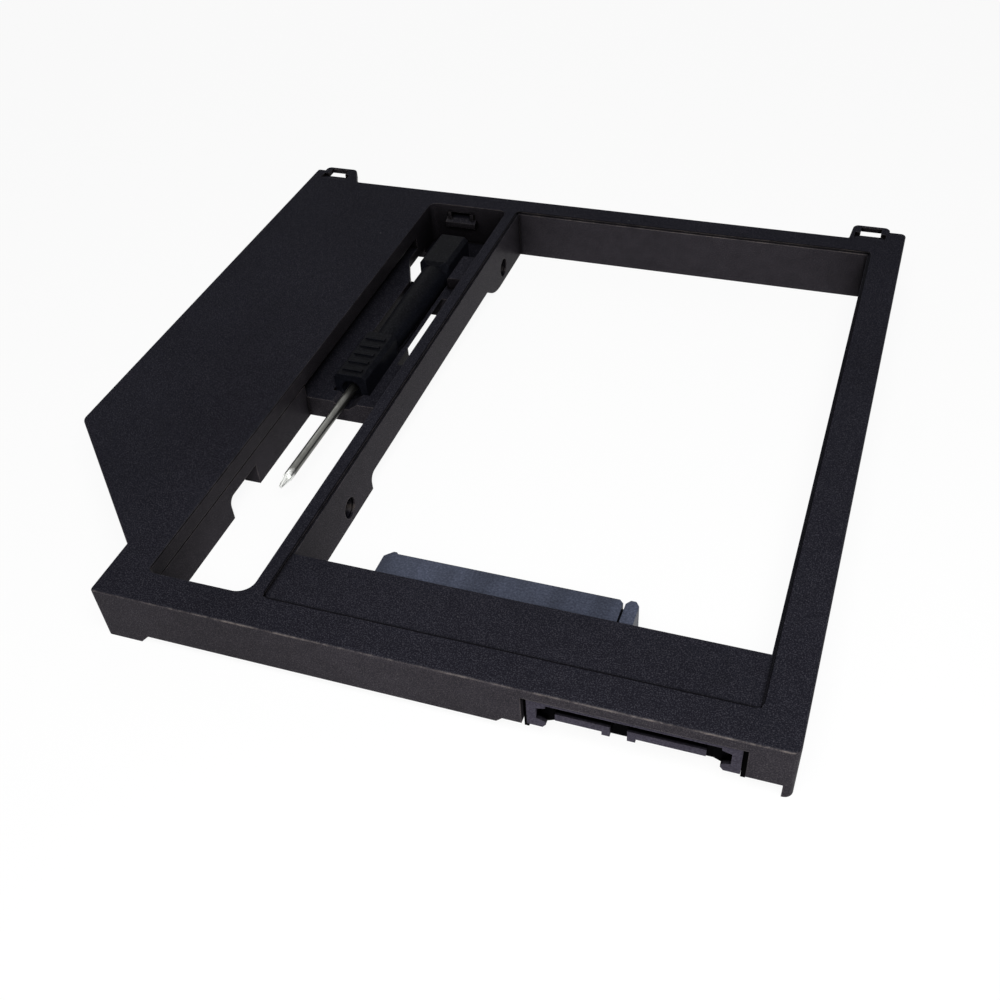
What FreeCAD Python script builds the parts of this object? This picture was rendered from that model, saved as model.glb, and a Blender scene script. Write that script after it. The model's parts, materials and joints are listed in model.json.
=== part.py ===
import FreeCAD, Part
import math
import os

# Laptop drive caddy: a moulded frame that fills an optical drive's bay and holds a 2.5 inch drive.
# Millimetres, +Z up, +Y from the bay plug towards the bezel lugs. Sizes below are counted from
# the wing's left edge and the front face; the finished pieces are moved so that the origin is
# the middle of the base.

# Widths, one after another from the wing's edge to the right side
WING_REACH = 24.5
WALL_STEP = 3.3
SLOT_WALL_T = 3.0
SLOT_W = 16.85
RIB_T = 2.6
DRIVE_W = 69.85
DRIVE_SIDE_CLEAR = 0.35
RAIL_W = 6.2

# Depths from the front face
FRONT_BAR_D = 5.7
BRIDGE_D = 15.4
DRIVE_FRONT = 19.2
DRIVE_L = 100.2
DRIVE_END_CLEAR = 1.1
BACK_BAR_D = 5.2
SHOULDER_REACH = 3.7
LUG_REACH = 5.3
WING_FRONT = 35.4
WING_ROOT = 10.3

# Heights and walls of the moulding
HEIGHT = 9.5
SKIN_T = 1.5
WALL_T = 1.3
EDGE_R = 0.35
FRONT_LEFT_R = 0.6
FRONT_RIGHT_R = 1.2
BACK_RIGHT_R = 1.0
BACK_LEFT_R = 0.6
WING_CORNER_R = 2.0
WING_ROOT_R = 0.4
RIM_T = 1.1
RIM_DROP = 1.0
WING_RIB_T = 1.0
WING_RIB_DROP = 0.8
WING_RIBS = 3
WEB_T = 1.0
RAIL_WEBS = 4
BACK_WEBS = 4

# Front wall: bottom edge, feet and step
SILL_Z = 1.5
STEP_SILL_Z = 2.4
STEP_W = 3.7
LEFT_FOOT_W = 5.9
RIGHT_FOOT_W = 1.4

# Shallow recess round the bay and over the bridge
RECESS_FRONT = 5.9
RECESS_DEPTH = 0.36
RECESS_LEDGE = 0.35

# Drive screw holes, by the drive's own pattern
HOLE_FROM_FRONT = 14.0
HOLE_SPACING = 76.6
HOLE_Z = 2.9
HOLE_R = 1.8
HOLE_WEB_T = 2.2
HOLE_PAD = 8.4
RIB_ARCH_H = 2.9
RIB_ARCH_R = 1.6
PAD_CURVE_R = 10.0
NOTCH_W = 9.2
NOTCH_H = 4.0
FAR_NOTCH_H = 2.2
NOTCH_R = 1.5
RAIL_NOTCH_R = 3.1
WITNESS_DROPS = (3.1, 0.3)
WITNESS_H = 0.2
WITNESS_D = 0.15

# Slot and tool bay
SLOT_NEAR_LEFT_R = 1.3
SLOT_NEAR_RIGHT_R = 2.6
TOOL_BAY_FRONT = 57.6
TOOL_BAY_R = 1.6
FLOOR_T = 1.2
TRAY_H = 4.0
UNDERCUT_D = 2.0
GROOVE_TOP_W = 4.8
GROOVE_BOTTOM_W = 1.2
GROOVE_D = 1.4
GRIP_POCKET_GAP = 0.25
TROUGH_LEFT = 4.1
TROUGH_RIGHT = 3.6
TROUGH_MARGIN = 1.5
CRADLE_RIM_W = 0.8
CRADLE_FLOOR_LEFT = 1.3
CRADLE_SLOPE = 0.75
SHELF_END = 98.8
SHELF_SLANT = 12.2
WINDOW_FRONT = 71.0
WINDOW_L = 23.0
WINDOW_W = 4.8
LEFT_WINDOW_L = 9.7
PAD_W = 4.9
PAD_L = 8.6
PAD_H = 5.3
PAD_EDGE_R = 0.6
END_POCKET_W = 4.2
END_POCKET_LOW = 6.7
END_POCKET_HIGH = 7.9
END_POST_W = 0.7
END_POST_REACH = 0.5
END_SILL_SIDE = 1.2
END_SILL_REACH = 1.0
END_SILL_LOW = 5.0
END_SILL_LIP = 0.6

# Bezel lugs at the back corners
LUG_W = 7.0
LEFT_LUG_INSET = 1.7
RIGHT_LUG_INSET = 3.1
LUG_CORNER_R = 1.1
LUG_ROOT_R = 0.4
LEFT_LUG_ROOT_R = 1.2
LUG_FLARE = 0.35
LEFT_LUG_FLARE = 2.4
LUG_SLOPE_RUN = 2.4
LUG_SLOPE_DROP = 0.7
LUG_BAR_T = 0.9
LUG_WINDOW_W = 3.9
LUG_WINDOW_L = 2.0

# Adapter board, its bosses and screws
BOARD_T = 0.8
BOARD_DROP = 2.0
BOARD_FRONT = 2.2
BOARD_BACK = 14.4
BOARD_LEFT_GAP = 3.5
BOARD_RIGHT_GAP = 0.8
BOARD_EDGE_GAP = 1.0
BOARD_CORNER_R = 0.5
BOSS_R = 2.2
SCREW_R = 0.8
SCREW_FIT = 0.02
SCREW_HEAD_R = 1.7
SCREW_HEAD_H = 0.8
SCREW_L = 2.6
SCREW_TIP_GAP = 0.1
BOARD_HOLE_R = 0.95
LEFT_SCREW_INSET = 4.2
LEFT_SCREW_Y = 7.5
RIGHT_SCREW_INSET = 13.0
RIGHT_SCREW_Y = 11.4
CAPACITORS = 4
CAPACITOR_L = 1.6
CAPACITOR_W = 0.8
CAPACITOR_H = 0.8
CAPACITOR_PITCH = 4.2
CAPACITOR_Y = 5.0
CAPACITOR_INSET = 12.0

# Spring and blade contacts
CONTACT_T = 0.2
CONTACT_W = 0.7
CONTACT_FOOT = 1.4
SATA_PITCH = 1.27
SLIM_PITCH = 1.0
POWER_PINS = 15
SIGNAL_PINS = 7
SLIM_POWER_PINS = 6

# Drive socket: mouth towards the bay
SOCKET_W = 39.6
SOCKET_OFFSET = 4.1
SOCKET_BOTTOM = 0.9
SOCKET_REAR = 10.4
SOCKET_MOUTH = 22.5
SOCKET_POST_W = 2.0
SOCKET_POST_GAP = 0.35
SOCKET_GROOVE_L = 5.5
SOCKET_GROOVE_D = 1.2
SOCKET_POST_REACH = 0.2
SOCKET_POST_BEVEL = 0.8
SOCKET_LIP = 0.9
SOCKET_CORNER = 1.2
MOUTH_DEPTH = 6.0
MOUTH_H = 1.5
MOUTH_DROP = 1.9
KEY_W = 1.2
KEY_H = 1.1
POWER_TONGUE = 20.6
SIGNAL_TONGUE = 10.4
TONGUE_GAP = 2.2
TIP_SETBACK = 0.6

# Bay plug: tongues towards the front
PLUG_W = 28.75
PLUG_GAP = 0.7
PLUG_SETBACK = 0.25
PLUG_BOTTOM = 2.3
PLUG_APRON_Z = 0.8
PLUG_HEADROOM = 0.4
PLUG_REAR = 6.6
PLUG_BACK_T = 3.6
PLUG_ROOF_T = 0.7
FLANGE_SETBACK = 1.0
FLANGE_FIT = 0.05
EAR_W = 2.2
EAR_ARM = 0.45
EAR_ARM_T = 1.2
EAR_NOTCH = 0.9
EAR_SLOT_D = 1.1
GUSSET_W = 1.6
GUSSET_RISE = 0.8
SLIM_POWER_TONGUE = 7.5
SLIM_TONGUE_GAP = 2.35
PLUG_TONGUE_INSET = 3.9
TONGUE_DROP = 1.9
TONGUE_T = 1.3
TONGUE_SETBACK = 0.2
PLUG_KEY_W = 1.1
PLUG_KEY_H = 0.7
PLUG_ARM_L = 1.6
PLUG_ARM_T = 1.0
OPENING_HEADROOM = 0.1

# Screwdriver stowed in the tool bay
TOOL_INSET = 7.4
TOOL_SKEW = 0.8
GRIP_SETBACK = 3.4
GRIP_W = 6.2
GRIP_H = 6.4
GRIP_CHAMFER = 0.7
GRIP_L = 13.8
GRIP_BARS = 5
GRIP_BAR_W = 3.8
GRIP_BAR_L = 0.8
GRIP_BAR_H = 0.3
GRIP_BAR_PITCH = 2.5
COLLAR_R = 1.9
COLLAR_DEPTH = 1.4
BARREL_R = 2.35
BARREL_SWELL = 0.4
BARREL_L = 25.5
SHOULDER_L = 0.9
HEAD_W = 6.3
HEAD_L = 10.8
HEAD_EDGE = 0.7
SHAFT_R = 0.8
SHAFT_OUT = 27.6
SHAFT_IN = 18.0
TIP_L = 2.6
TIP_END_R = 0.28
FLUTE_W = 0.44

# Places that follow from the sizes above
X_BODY = WING_REACH
X_WALL = X_BODY + WALL_STEP
X_SLOT = X_WALL + SLOT_WALL_T
X_RIB = X_SLOT + SLOT_W
X_BAY = X_RIB + RIB_T
X_RAIL = X_BAY + DRIVE_W + 2 * DRIVE_SIDE_CLEAR
X_RIGHT = X_RAIL + RAIL_W
Y_BAY_BACK = DRIVE_FRONT + DRIVE_L + DRIVE_END_CLEAR
Y_BACK = Y_BAY_BACK + BACK_BAR_D
Y_SHOULDER = Y_BACK + SHOULDER_REACH
Y_LUG = Y_BACK + LUG_REACH
Z_SKIN = HEIGHT - SKIN_T
Z_LIP = HEIGHT - WITNESS_DROPS[0]
HOLE_YS = [DRIVE_FRONT + HOLE_FROM_FRONT, DRIVE_FRONT + HOLE_FROM_FRONT + HOLE_SPACING]
BOARD_Z = Z_SKIN - BOARD_DROP
MOUTH_TOP = BOARD_Z - MOUTH_DROP
TONGUE_Z = BOARD_Z - TONGUE_DROP
PLUG_TOP = Z_SKIN - PLUG_HEADROOM
PLUG_X1 = X_RAIL - PLUG_GAP
PLUG_X0 = PLUG_X1 - PLUG_W
SOCKET_X = (X_BAY + X_RAIL) / 2 - SOCKET_OFFSET
SOCKET_X0 = SOCKET_X - SOCKET_W / 2
SOCKET_X1 = SOCKET_X + SOCKET_W / 2
BOARD_TOP = BOARD_Z + BOARD_T
SCREW_POINTS = [
    (X_BAY + BOARD_LEFT_GAP + LEFT_SCREW_INSET, LEFT_SCREW_Y),
    (X_RAIL - RIGHT_SCREW_INSET, RIGHT_SCREW_Y),
]
TOOL_X = X_SLOT + TOOL_INSET
TOOL_Z = FLOOR_T + GRIP_H / 2
GRIP_Y = TOOL_BAY_FRONT + GRIP_SETBACK
TROUGH_X0 = TOOL_X - TROUGH_LEFT
TROUGH_X1 = TOOL_X + TROUGH_RIGHT
TROUGH_Y = GRIP_Y + GRIP_L + TROUGH_MARGIN
BASE_SHIFT = FreeCAD.Vector(-X_RIGHT / 2, -Y_LUG / 2, 0)


def block(x0, x1, y0, y1, z0, z1):
    return Part.makeBox(x1 - x0, y1 - y0, z1 - z0, FreeCAD.Vector(x0, y0, z0))


def plan_prism(corners, z0, z1):
    """Straight-sided prism over corners given as (x, y)."""
    points = [FreeCAD.Vector(x, y, z0) for x, y in corners]
    face = Part.Face(Part.makePolygon(points + points[:1]))
    return face.extrude(FreeCAD.Vector(0, 0, z1 - z0))


def side_prism(corners, x0, x1):
    """Prism along X over corners given as (y, z)."""
    points = [FreeCAD.Vector(x0, y, z) for y, z in corners]
    face = Part.Face(Part.makePolygon(points + points[:1]))
    return face.extrude(FreeCAD.Vector(x1 - x0, 0, 0))


def front_prism(corners, y0, y1):
    """Prism along Y over corners given as (x, z)."""
    points = [FreeCAD.Vector(x, y0, z) for x, z in corners]
    face = Part.Face(Part.makePolygon(points + points[:1]))
    return face.extrude(FreeCAD.Vector(0, y1 - y0, 0))


def rounded_prism(corners, z0, z1):
    """Prism over corners given as (x, y, radius), each corner rounded by its own radius."""
    edges = []
    starts = []
    count = len(corners)
    for i in range(count):
        here = FreeCAD.Vector(corners[i][0], corners[i][1], z0)
        before = FreeCAD.Vector(corners[i - 1][0], corners[i - 1][1], z0)
        after = FreeCAD.Vector(corners[(i + 1) % count][0], corners[(i + 1) % count][1], z0)
        radius = corners[i][2]
        to_before = (before - here).normalize()
        to_after = (after - here).normalize()
        half = to_before.getAngle(to_after) / 2
        if radius > 0:
            run = radius / math.tan(half)
            middle = here + (to_before + to_after).normalize() * (radius / math.sin(half) - radius)
            starts.append((here + to_before * run, middle, here + to_after * run))
        else:
            starts.append((here, None, here))
    for i in range(count):
        first, middle, last = starts[i]
        if middle is not None:
            edges.append(Part.Arc(first, middle, last).toShape())
        following = starts[(i + 1) % count][0]
        if (following - last).Length > 1e-6:
            edges.append(Part.makeLine(last, following))
    face = Part.Face(Part.Wire(edges))
    return face.extrude(FreeCAD.Vector(0, 0, z1 - z0))


def fused(shapes):
    whole = shapes[0].multiFuse(shapes[1:]) if len(shapes) > 1 else shapes[0]
    return whole.removeSplitter()


def edges_at_height(shape, z):
    return [e for e in shape.Edges if all(abs(v.Point.z - z) < 1e-6 for v in e.Vertexes)]


# Outer form of the moulding
def lug_spans():
    """Left and right lug as (x0, x1)."""
    left = LEFT_LUG_INSET
    right = X_RIGHT - RIGHT_LUG_INSET
    return [(left, left + LUG_W), (right - LUG_W, right)]


def top_skin():
    (left0, left1), (right0, right1) = lug_spans()
    outline = [
        (X_BODY, 0, FRONT_LEFT_R),
        (X_RIGHT, 0, FRONT_RIGHT_R),
        (X_RIGHT, Y_SHOULDER, BACK_RIGHT_R),
        (right1, Y_SHOULDER, 0),
        (right1, Y_LUG, LUG_CORNER_R),
        (right0, Y_LUG, LUG_CORNER_R),
        (right0 - LUG_FLARE, Y_BACK, LUG_ROOT_R),
        (left1 + LEFT_LUG_FLARE, Y_BACK, LEFT_LUG_ROOT_R),
        (left1, Y_LUG, LUG_CORNER_R),
        (left0, Y_LUG, LUG_CORNER_R),
        (left0, Y_SHOULDER, 0),
        (0, Y_SHOULDER, BACK_LEFT_R),
        (0, WING_FRONT, WING_CORNER_R),
        (X_BODY, WING_ROOT, WING_ROOT_R),
    ]
    skin = rounded_prism(outline, Z_SKIN, HEIGHT)
    return skin.makeFillet(EDGE_R, edges_at_height(skin, HEIGHT))


def lower_body():
    outline = [
        (X_BODY, 0, FRONT_LEFT_R),
        (X_RIGHT, 0, FRONT_RIGHT_R),
        (X_RIGHT, Y_SHOULDER, BACK_RIGHT_R),
        (X_RIGHT - RIGHT_FOOT_W, Y_SHOULDER, 0),
        (X_RIGHT - RIGHT_FOOT_W, Y_BACK, 0),
        (X_WALL, Y_BACK, BACK_LEFT_R),
        (X_WALL, WING_ROOT, 0),
        (X_BODY, WING_ROOT, WING_ROOT_R),
    ]
    return rounded_prism(outline, 0, Z_SKIN)


def wing_underside():
    """Rim round the wing's free edges and stiffening ribs under it."""
    z0 = Z_SKIN - RIM_DROP
    slant = [
        (X_BODY, WING_ROOT),
        (X_BODY + RIM_T, WING_ROOT),
        (RIM_T, WING_FRONT + RIM_T / 2),
        (0, WING_FRONT + RIM_T / 2),
        (0, WING_FRONT),
    ]
    pieces = [
        plan_prism(slant, z0, Z_SKIN),
        block(0, RIM_T, WING_FRONT + RIM_T / 2, Y_BACK, z0, Z_SKIN),
        block(0, X_WALL, Y_BACK - RIM_T, Y_BACK, z0, Z_SKIN),
    ]
    span = (Y_BACK - WING_FRONT) / (WING_RIBS + 1)
    for i in range(1, WING_RIBS + 1):
        y = WING_FRONT + i * span
        pieces.append(block(RIM_T / 2, X_WALL, y, y + WING_RIB_T, Z_SKIN - WING_RIB_DROP, Z_SKIN))
    return pieces


def lug_cuts():
    """Slope behind the top edge, the window for the bezel's hook, and the room below the bar behind it."""
    cuts = []
    for x0, x1 in lug_spans():
        middle = (x0 + x1) / 2
        y0 = Y_BACK
        y1 = y0 + LUG_SLOPE_RUN
        y2 = y1 + LUG_WINDOW_L
        slope = [(y0, HEIGHT), (y1, HEIGHT - LUG_SLOPE_DROP), (y1, HEIGHT + 1), (y0, HEIGHT + 1)]
        cuts.append(side_prism(slope, x0 + LUG_CORNER_R / 2, x1 - LUG_CORNER_R / 2))
        cuts.append(block(middle - LUG_WINDOW_W / 2, middle + LUG_WINDOW_W / 2, y1, y2, 0, HEIGHT + 1))
        cuts.append(block(x0, x1, y1 + LUG_SLOPE_DROP / 2, Y_LUG + 1, 0, HEIGHT - LUG_BAR_T))
    return cuts


# Openings and hollows of the moulding
def drive_bay_cut():
    return block(X_BAY, X_RAIL, BRIDGE_D, Y_BAY_BACK, -1, HEIGHT + 1)


def slot_cut():
    corners = [
        (X_SLOT, FRONT_BAR_D, SLOT_NEAR_LEFT_R),
        (X_RIB, FRONT_BAR_D, SLOT_NEAR_RIGHT_R),
        (X_RIB, TOOL_BAY_FRONT, 0),
        (X_SLOT, TOOL_BAY_FRONT, 0),
    ]
    return rounded_prism(corners, -1, HEIGHT + 1)


def tool_bay_cuts():
    """Room above the tray, the deep pit at its far end and the undercut below the left wall's lip."""
    upper = [
        (X_SLOT, TOOL_BAY_FRONT - 1, 0),
        (X_RIB, TOOL_BAY_FRONT - 1, 0),
        (X_RIB, Y_BAY_BACK, TOOL_BAY_R),
        (X_SLOT, Y_BAY_BACK, TOOL_BAY_R),
    ]
    slant_at_wall = SHELF_END + SHELF_SLANT * (TROUGH_X0 - X_SLOT) / (TROUGH_X0 - X_SLOT + UNDERCUT_D)
    pit = [
        (X_SLOT, slant_at_wall, 0),
        (TROUGH_X0, SHELF_END, 0),
        (X_RIB, SHELF_END, 0),
        (X_RIB, Y_BAY_BACK, TOOL_BAY_R),
        (X_SLOT, Y_BAY_BACK, TOOL_BAY_R),
    ]
    return [
        rounded_prism(upper, TRAY_H, HEIGHT + 1),
        rounded_prism(pit, FLOOR_T, TRAY_H + 1),
        block(X_SLOT - UNDERCUT_D, X_SLOT + 1, TOOL_BAY_FRONT, SHELF_END + SHELF_SLANT, TRAY_H, Z_LIP),
    ]


def cradle_cuts():
    """Groove, pocket and trough that the shaft, the grip and the barrel lie in."""
    low = TRAY_H - GROOVE_D
    groove = front_prism([(TOOL_X - GROOVE_BOTTOM_W / 2, low), (TOOL_X + GROOVE_BOTTOM_W / 2, low),
                          (TOOL_X + GROOVE_TOP_W / 2, TRAY_H), (TOOL_X + GROOVE_TOP_W / 2, TRAY_H + 1),
                          (TOOL_X - GROOVE_TOP_W / 2, TRAY_H + 1), (TOOL_X - GROOVE_TOP_W / 2, TRAY_H)],
                         TOOL_BAY_FRONT - 1, GRIP_Y)
    pocket_y = GRIP_Y - GRIP_POCKET_GAP
    pocket = block(TOOL_X - TROUGH_RIGHT, TROUGH_X1, pocket_y, TROUGH_Y + 1, FLOOR_T, TRAY_H + 1)
    rim_x = X_RIB - WINDOW_W - CRADLE_RIM_W
    floor_x = TOOL_X - CRADLE_FLOOR_LEFT
    trough = front_prism([(TROUGH_X0, -1), (floor_x, -1), (floor_x, FLOOR_T),
                          (rim_x - CRADLE_SLOPE * (TRAY_H - FLOOR_T), FLOOR_T), (rim_x, TRAY_H),
                          (rim_x, TRAY_H + 1), (TROUGH_X0, TRAY_H + 1)], TROUGH_Y, SHELF_END)
    return [groove, pocket, trough]


def floor_windows():
    """See-through windows in the tool bay's floor: beside the rib, and by the far screw."""
    y1 = SHELF_END + SHELF_SLANT / 3
    x0 = X_RIB - WINDOW_W
    under_rim = [(x0, TRAY_H), (x0 - CRADLE_SLOPE * (TRAY_H + 1), -1), (x0 + 0.5, -1), (x0 + 0.5, TRAY_H)]
    return [
        block(x0, X_RIB, WINDOW_FRONT, WINDOW_FRONT + WINDOW_L, -1, TRAY_H + 1),
        front_prism(under_rim, TROUGH_Y, WINDOW_FRONT + WINDOW_L),
        block(X_SLOT, TROUGH_X0, y1, y1 + LEFT_WINDOW_L, -1, FLOOR_T + 1),
    ]


def end_pocket():
    """Small hole through the tool bay's far wall."""
    x = TOOL_X - END_POCKET_W / 5
    return block(x - END_POCKET_W / 2, x + END_POCKET_W / 2, Y_BAY_BACK - 1, Y_BAY_BACK + WALL_T + 1,
                 END_POCKET_LOW, END_POCKET_HIGH)


def end_frame():
    """Two short posts beside the far wall's hole and the sloped sill below it."""
    x = TOOL_X - END_POCKET_W / 5
    x0 = x - END_POCKET_W / 2
    x1 = x + END_POCKET_W / 2
    y0 = Y_BAY_BACK - END_POST_REACH
    wall = Y_BAY_BACK + 0.2
    sill_y = Y_BAY_BACK - END_SILL_REACH
    sill = [(wall, END_SILL_LOW), (sill_y, END_SILL_LOW), (sill_y, END_POCKET_LOW - END_SILL_LIP),
            (Y_BAY_BACK, END_POCKET_LOW), (wall, END_POCKET_LOW)]
    return [
        block(x0 - END_POST_W, x0, y0, wall, END_POCKET_LOW - 0.1, END_POCKET_HIGH),
        block(x1, x1 + END_POST_W, y0, wall, END_POCKET_LOW - 0.1, END_POCKET_HIGH),
        side_prism(sill, x0 - END_SILL_SIDE, x1 + END_SILL_SIDE),
    ]


def recess_cut():
    """Shallow recess that the drive's cover sheet and the bridge panel share."""
    return block(X_BAY - RECESS_LEDGE, X_RAIL + RECESS_LEDGE, RECESS_FRONT, Y_BAY_BACK + RECESS_LEDGE,
                 HEIGHT - RECESS_DEPTH, HEIGHT + 1)


def underside_hollows():
    """Channels open to below: front bar, bridge, right rail, back bar and left corner."""
    return [
        block(X_WALL, X_RIB, WALL_T, FRONT_BAR_D - WALL_T, -1, Z_SKIN),
        block(X_BODY + WALL_T, X_WALL, WALL_T, WING_ROOT - WALL_T, -1, Z_SKIN),
        block(X_BAY, X_RAIL, WALL_T, BRIDGE_D + 1, -1, Z_SKIN),
        block(X_RAIL + WALL_T, X_RIGHT - RIGHT_FOOT_W, WALL_T, Y_BACK - WALL_T, -1, Z_SKIN),
        block(X_WALL + SLOT_WALL_T, X_RAIL, Y_BAY_BACK + WALL_T, Y_BACK - WALL_T, -1, Z_SKIN),
    ]


def channel_webs():
    """Cross webs that stiffen the rail and the back bar."""
    webs = []
    rail_span = (HOLE_YS[1] - HOLE_YS[0]) / (RAIL_WEBS - 1)
    for i in range(RAIL_WEBS):
        y = HOLE_YS[0] + HOLE_PAD / 2 + WEB_T + i * (rail_span - HOLE_PAD / RAIL_WEBS)
        webs.append(block(X_RAIL + WALL_T, X_RIGHT - RIGHT_FOOT_W, y, y + WEB_T, 0, Z_SKIN))
    back_span = (X_RAIL - X_SLOT) / (BACK_WEBS + 1)
    for i in range(1, BACK_WEBS + 1):
        x = X_SLOT + i * back_span
        webs.append(block(x, x + WEB_T, Y_BAY_BACK + WALL_T, Y_BACK - WALL_T, 0, Z_SKIN))
    return webs


def front_wall_cuts():
    """Raised bottom edge between the feet, its step, and the plug's opening."""
    foot_end = X_BODY + LEFT_FOOT_W
    step = PLUG_X0 - PLUG_GAP - STEP_W
    ramp = SILL_Z
    sill = [(foot_end, -1), (foot_end, 0), (foot_end + ramp, SILL_Z), (step, SILL_Z),
            (step + (STEP_SILL_Z - SILL_Z), STEP_SILL_Z), (X_RIGHT - RIGHT_FOOT_W, STEP_SILL_Z),
            (X_RIGHT - RIGHT_FOOT_W, -1)]
    return [
        front_prism(sill, -1, WALL_T + 0.5),
        block(PLUG_X0 - PLUG_GAP, X_RAIL, -1, WALL_T + 1, -1, PLUG_TOP + OPENING_HEADROOM),
    ]


def rib_arch():
    """Relief under the rib between the two screw pads, and the long curve under the far pad."""
    y0 = HOLE_YS[0] + HOLE_PAD
    y1 = HOLE_YS[1] - HOLE_PAD - RIM_T
    relief = block(X_RIB - 0.5, X_BAY + 0.5, y0, y1, -1, RIB_ARCH_H)
    near_corner = [e for e in relief.Edges
                   if all(abs(v.Point.z - RIB_ARCH_H) + abs(v.Point.y - y0) < 1e-6 for v in e.Vertexes)]
    curve_end = y1 + (RIB_ARCH_H * (2 * PAD_CURVE_R - RIB_ARCH_H)) ** 0.5
    curve_start = FreeCAD.Vector(X_RIB - 0.5, curve_end, PAD_CURVE_R)
    curve = Part.makeCylinder(PAD_CURVE_R, X_BAY - X_RIB + 1, curve_start, FreeCAD.Vector(1, 0, 0))
    below = block(X_RIB - 0.5, X_BAY + 0.5, y1 - 0.1, curve_end, -1, RIB_ARCH_H)
    return [relief.makeFillet(RIB_ARCH_R, near_corner), below.cut(curve)]


def driver_notch(y, height):
    """Notch under the slot wall that lets a driver reach a drive screw."""
    notch = block(X_WALL - 0.5, X_SLOT + 0.5, y - NOTCH_W / 2, y + NOTCH_W / 2, -1, height)
    corner = [e for e in notch.Edges
              if all(abs(v.Point.z - height) < 1e-6 for v in e.Vertexes)
              and all(abs(v.Point.y - (y - NOTCH_W / 2)) < 1e-6 for v in e.Vertexes)]
    return notch.makeFillet(NOTCH_R, corner)


def rail_notch(y):
    """Round-topped notch in the right outer wall for a screw head and driver."""
    x0 = X_RIGHT - RIGHT_FOOT_W - 0.5
    length = RIGHT_FOOT_W + 1.5
    arch = Part.makeCylinder(RAIL_NOTCH_R, length, FreeCAD.Vector(x0, y, HOLE_Z), FreeCAD.Vector(1, 0, 0))
    return arch.fuse(block(x0, x0 + length, y - RAIL_NOTCH_R, y + RAIL_NOTCH_R, -1, HOLE_Z))


def hole_along_x(x0, x1, y, radius):
    return Part.makeCylinder(radius, x1 - x0, FreeCAD.Vector(x0, y, HOLE_Z), FreeCAD.Vector(1, 0, 0))


def witness_grooves():
    """Fine lines on the slot wall, under its edge and where the two halves of the mould meet."""
    x0 = X_SLOT - WITNESS_D
    y1 = TOOL_BAY_FRONT + WITNESS_D
    lows = [HEIGHT - drop for drop in WITNESS_DROPS]
    return [block(x0, X_SLOT + 1, FRONT_BAR_D, y1, z, z + WITNESS_H) for z in lows]


# Pieces of the moulding that stand inside the hollows
def screw_boss(x, y):
    return Part.makeCylinder(BOSS_R, Z_SKIN - BOARD_TOP, FreeCAD.Vector(x, y, BOARD_TOP))


def tool_pad():
    """Block beside the screwdriver's head end that keeps it from sliding sideways."""
    y1 = HOLE_YS[1] - RAIL_NOTCH_R - 0.5
    pad = block(X_RIB - PAD_W, X_RIB, y1 - PAD_L, y1, 0, FLOOR_T + PAD_H)
    top = [e for e in pad.Edges
           if all(abs(v.Point.z - FLOOR_T - PAD_H) < 1e-6 for v in e.Vertexes)
           and all(v.Point.x < X_RIB - 0.1 for v in e.Vertexes)]
    return pad.makeFillet(PAD_EDGE_R, top)


def rail_hole_web(y):
    x0 = X_RAIL + WALL_T
    return block(x0, X_RAIL + HOLE_WEB_T, y - HOLE_PAD / 2, y + HOLE_PAD / 2, 0, Z_SKIN)


def caddy_frame():
    solid = fused([top_skin(), lower_body()] + wing_underside())
    cuts = [drive_bay_cut(), slot_cut(), end_pocket(), recess_cut()]
    cuts += tool_bay_cuts() + cradle_cuts() + floor_windows() + witness_grooves() + rib_arch()
    cuts += underside_hollows() + lug_cuts()
    solid = solid.cut(cuts)
    webs = channel_webs() + end_frame() + [tool_pad()]
    webs += [rail_hole_web(y) for y in HOLE_YS]
    webs += [screw_boss(x, y) for x, y in SCREW_POINTS]
    solid = fused([solid] + webs)
    cuts = front_wall_cuts()
    cuts += [driver_notch(HOLE_YS[0], NOTCH_H), driver_notch(HOLE_YS[1], FAR_NOTCH_H)]
    for y in HOLE_YS:
        cuts += [rail_notch(y), hole_along_x(X_RIB - 1, X_BAY + 1, y, HOLE_R)]
        cuts.append(hole_along_x(X_RAIL - 1, X_RAIL + HOLE_WEB_T + 0.5, y, HOLE_R))
    depth = SCREW_L + SCREW_TIP_GAP
    for x, y in SCREW_POINTS:
        cuts.append(Part.makeCylinder(SCREW_R + SCREW_FIT, depth, FreeCAD.Vector(x, y, BOARD_Z)))
    return solid.cut(cuts).removeSplitter()


# Adapter board and what is soldered to it
def adapter_board():
    x0 = X_BAY + BOARD_LEFT_GAP
    x1 = X_RAIL - BOARD_RIGHT_GAP
    notch_x = PLUG_X0 - BOARD_EDGE_GAP
    outline = [
        (x0, BOARD_FRONT, BOARD_CORNER_R),
        (notch_x, BOARD_FRONT, BOARD_CORNER_R),
        (notch_x, PLUG_REAR, 0),
        (x1, PLUG_REAR, 0),
        (x1, BOARD_BACK, BOARD_CORNER_R),
        (x0, BOARD_BACK, BOARD_CORNER_R),
    ]
    board = rounded_prism(outline, BOARD_Z, BOARD_TOP)
    holes = [Part.makeCylinder(BOARD_HOLE_R, BOARD_T + 2, FreeCAD.Vector(x, y, BOARD_Z - 1))
             for x, y in SCREW_POINTS]
    return board.cut(holes)


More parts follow.
